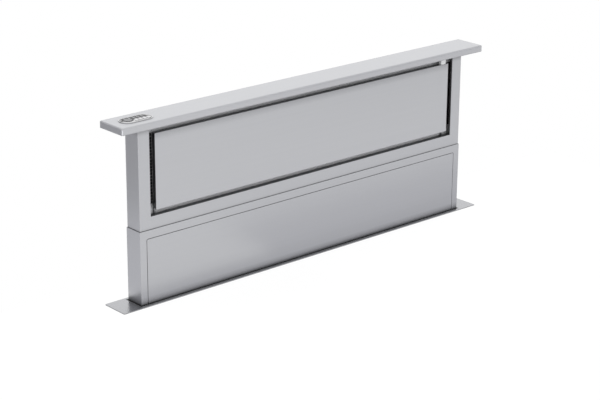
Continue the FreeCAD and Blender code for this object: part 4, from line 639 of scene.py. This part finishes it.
def painted_shade_wool():
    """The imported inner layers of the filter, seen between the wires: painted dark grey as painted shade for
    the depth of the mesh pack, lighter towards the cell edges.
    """
    finish, shader, add, join = new_finish("filter_inner_layers_painted_shade")
    shader.inputs["Metallic"].default_value = 1.0
    shader.inputs["Roughness"].default_value = 0.5
    place = add("TexCoord")
    cells = add("TexVoronoi", {"Scale": 420.0}, feature="DISTANCE_TO_EDGE")
    join(place.outputs["Object"], cells.inputs["Vector"])
    # painted shade: the aluminium is given a dark grey for the shade deep in the mesh pack, lighter towards the
    # cell edges
    tone = add("ValToRGB")
    tone.color_ramp.elements[0].color = (0.34, 0.34, 0.35, 1)
    tone.color_ramp.elements[1].color = (0.06, 0.06, 0.065, 1)
    tone.color_ramp.elements[1].position = 0.22
    join(cells.outputs["Distance"], tone.inputs["Fac"])
    join(tone.outputs["Color"], shader.inputs["Base Color"])
    relief = add("Bump", {"Strength": 0.7, "Distance": 0.0006})
    relief.invert = True
    join(cells.outputs["Distance"], relief.inputs["Height"])
    join(relief.outputs["Normal"], shader.inputs["Normal"])
    return finish


dress(painted_shade_wool(), "filter_meshes")

# ---------------------------------------------------------------- suction panel
# The folded stainless panel in front of the filters. Air goes in round its edges. It hinges at its lower
# edge, and a pale nylon catch holds it at the top right.

# painted shade: the panel is darkened deeply along its returns and edges, in the gaps round it
panel_steel = brushed_steel("panel_steel", rough=0.30, painted_shade_reach=0.03, painted_shade_depth=2.4)
dress(panel_steel, "suction_panel")
hinge_chrome = turned_steel("hinge_chrome", (0.66, 0.66, 0.67), 0.15, 1500.0, "X")
dress(hinge_chrome, "hinge_pins")
catch_nylon = moulded("catch_nylon", (0.86, 0.87, 0.88), 0.4, 900.0, 0.1)
dress(catch_nylon, "panel_catch")

# ---------------------------------------------------------------- cap
# The wide lid over the columns: a tray of brushed stainless, its edges turned down, closed by a screwed
# underplate with rubber bumpers. It covers the slot when the vent is down.

cap_steel = brushed_steel("cap_steel", tone=(0.525, 0.530, 0.551), rough=0.30, fold=0.003)
dress(cap_steel, "cap", "cap_underplate")
dress(screw_zinc, "cap_screws")
dress(seal_rubber, "cap_bumpers")

# ---------------------------------------------------------------- control pad
# A pad near the cap's left end: a chromed bezel round an inlay, a round power button and a row of four keys.
# Its dark band of lamp windows is printed on. The circuit board lies under it, inside the cap.

pad_chrome = turned_steel("pad_chrome", (0.68, 0.68, 0.69), 0.16, 1500.0, "X")
dress(pad_chrome, "raise_key", "lower_key", "faster_key", "slower_key")
dark_chrome = turned_steel("dark_chrome", (0.20, 0.20, 0.21), 0.22, 1500.0, "X")
dress(dark_chrome, "power_button")

pad_middle, pad_half_run, pad_rim = (-0.403, -0.0015), 0.017, 0.0146
button_middle, button_ring = (-0.420, -0.0015), 0.0105
lamp_pitch, lamp_start, lamp_gap = 0.009, -0.3755, 0.11
band_set_forward, rim_half_width, rim_clearance = 0.002, 0.0006, 0.0012
pitches_before_start = 40.0


def pad_print():
    """Chrome with a black band of lamp windows along its back, a ring round the button and a dark rim."""
    finish, shader, add, join = new_finish("pad_print")
    shader.inputs["Specular IOR Level"].default_value = 0.12
    place = add("TexCoord")
    where = add("SeparateXYZ")
    join(place.outputs["Object"], where.inputs[0])

    def sum_of(operation, first, second=0.0):
        node = add("Math", operation=operation)
        for socket, amount in zip(node.inputs, (first, second)):
            if isinstance(amount, float):
                socket.default_value = amount
            else:
                join(amount, socket)
        return node.outputs[0]

    def away_from(middle, half_run):
        from_middle = sum_of("ABSOLUTE", sum_of("SUBTRACT", where.outputs["X"], middle[0]))
        along = sum_of("MAXIMUM", sum_of("SUBTRACT", from_middle, half_run), 0.0)
        across = sum_of("SUBTRACT", where.outputs["Y"], middle[1])
        return sum_of("SQRT", sum_of("ADD", sum_of("POWER", along, 2.0), sum_of("MULTIPLY", across, across)))

    edge = away_from(pad_middle, pad_half_run)
    inside = sum_of("LESS_THAN", edge, pad_rim - rim_clearance)
    past_inner = sum_of("GREATER_THAN", edge, pad_rim - rim_half_width)
    rim = sum_of("MULTIPLY", past_inner, sum_of("LESS_THAN", edge, pad_rim + rim_half_width))
    back_half = sum_of("GREATER_THAN", where.outputs["Y"], pad_middle[1] - band_set_forward)
    steps = sum_of("DIVIDE", sum_of("SUBTRACT", where.outputs["X"], lamp_start), lamp_pitch)
    # the pitches added keep the count above zero along the whole pad
    window = sum_of("GREATER_THAN", sum_of("FRACT", sum_of("ADD", steps, pitches_before_start)), lamp_gap)
    band = sum_of("MULTIPLY", sum_of("MULTIPLY", inside, back_half), window)
    ring = sum_of("LESS_THAN", away_from(button_middle, 0.0), button_ring)
    dark = sum_of("MAXIMUM", sum_of("MAXIMUM", band, ring), rim)
    film = add("TexNoise", {"Scale": 300.0, "Detail": 4.0})
    join(place.outputs["Object"], film.inputs["Vector"])
    bright = add("ValToRGB")
    bright.color_ramp.elements[0].color = (0.62, 0.62, 0.63, 1)
    bright.color_ramp.elements[1].color = (0.70, 0.70, 0.71, 1)
    join(film.outputs["Fac"], bright.inputs["Fac"])
    tone = add("MixRGB", {"Color2": (0.035, 0.035, 0.04, 1)})
    join(dark, tone.inputs["Fac"])
    join(bright.outputs["Color"], tone.inputs["Color1"])
    join(tone.outputs["Color"], shader.inputs["Base Color"])
    join(sum_of("SUBTRACT", 1.0, dark), shader.inputs["Metallic"])
    gloss = add("MapRange", {"To Min": 0.16, "To Max": 0.24})
    join(film.outputs["Fac"], gloss.inputs["Value"])
    join(gloss.outputs["Result"], shader.inputs["Roughness"])
    return finish


legend = pad_print()
dress(legend, "control_bezel", "pad_inlay")


def solder_mask():
    """Green lacquered board with faint copper runs under the lacquer."""
    finish, shader, add, join = new_finish("solder_mask")
    shader.inputs["Roughness"].default_value = 0.32
    shader.inputs["Coat Weight"].default_value = 0.4
    place = add("TexCoord")
    runs = add("TexBrick", {
        "Scale": 90.0, "Color1": (0.010, 0.075, 0.028, 1), "Color2": (0.016, 0.105, 0.040, 1),
        "Mortar": (0.035, 0.16, 0.07, 1), "Mortar Size": 0.06,
    })
    join(place.outputs["Object"], runs.inputs["Vector"])
    join(runs.outputs["Color"], shader.inputs["Base Color"])
    relief = add("Bump", {"Strength": 0.2, "Distance": 0.0001})
    join(runs.outputs["Fac"], relief.inputs["Height"])
    join(relief.outputs["Normal"], shader.inputs["Normal"])
    return finish


dress(solder_mask(), "control_board")
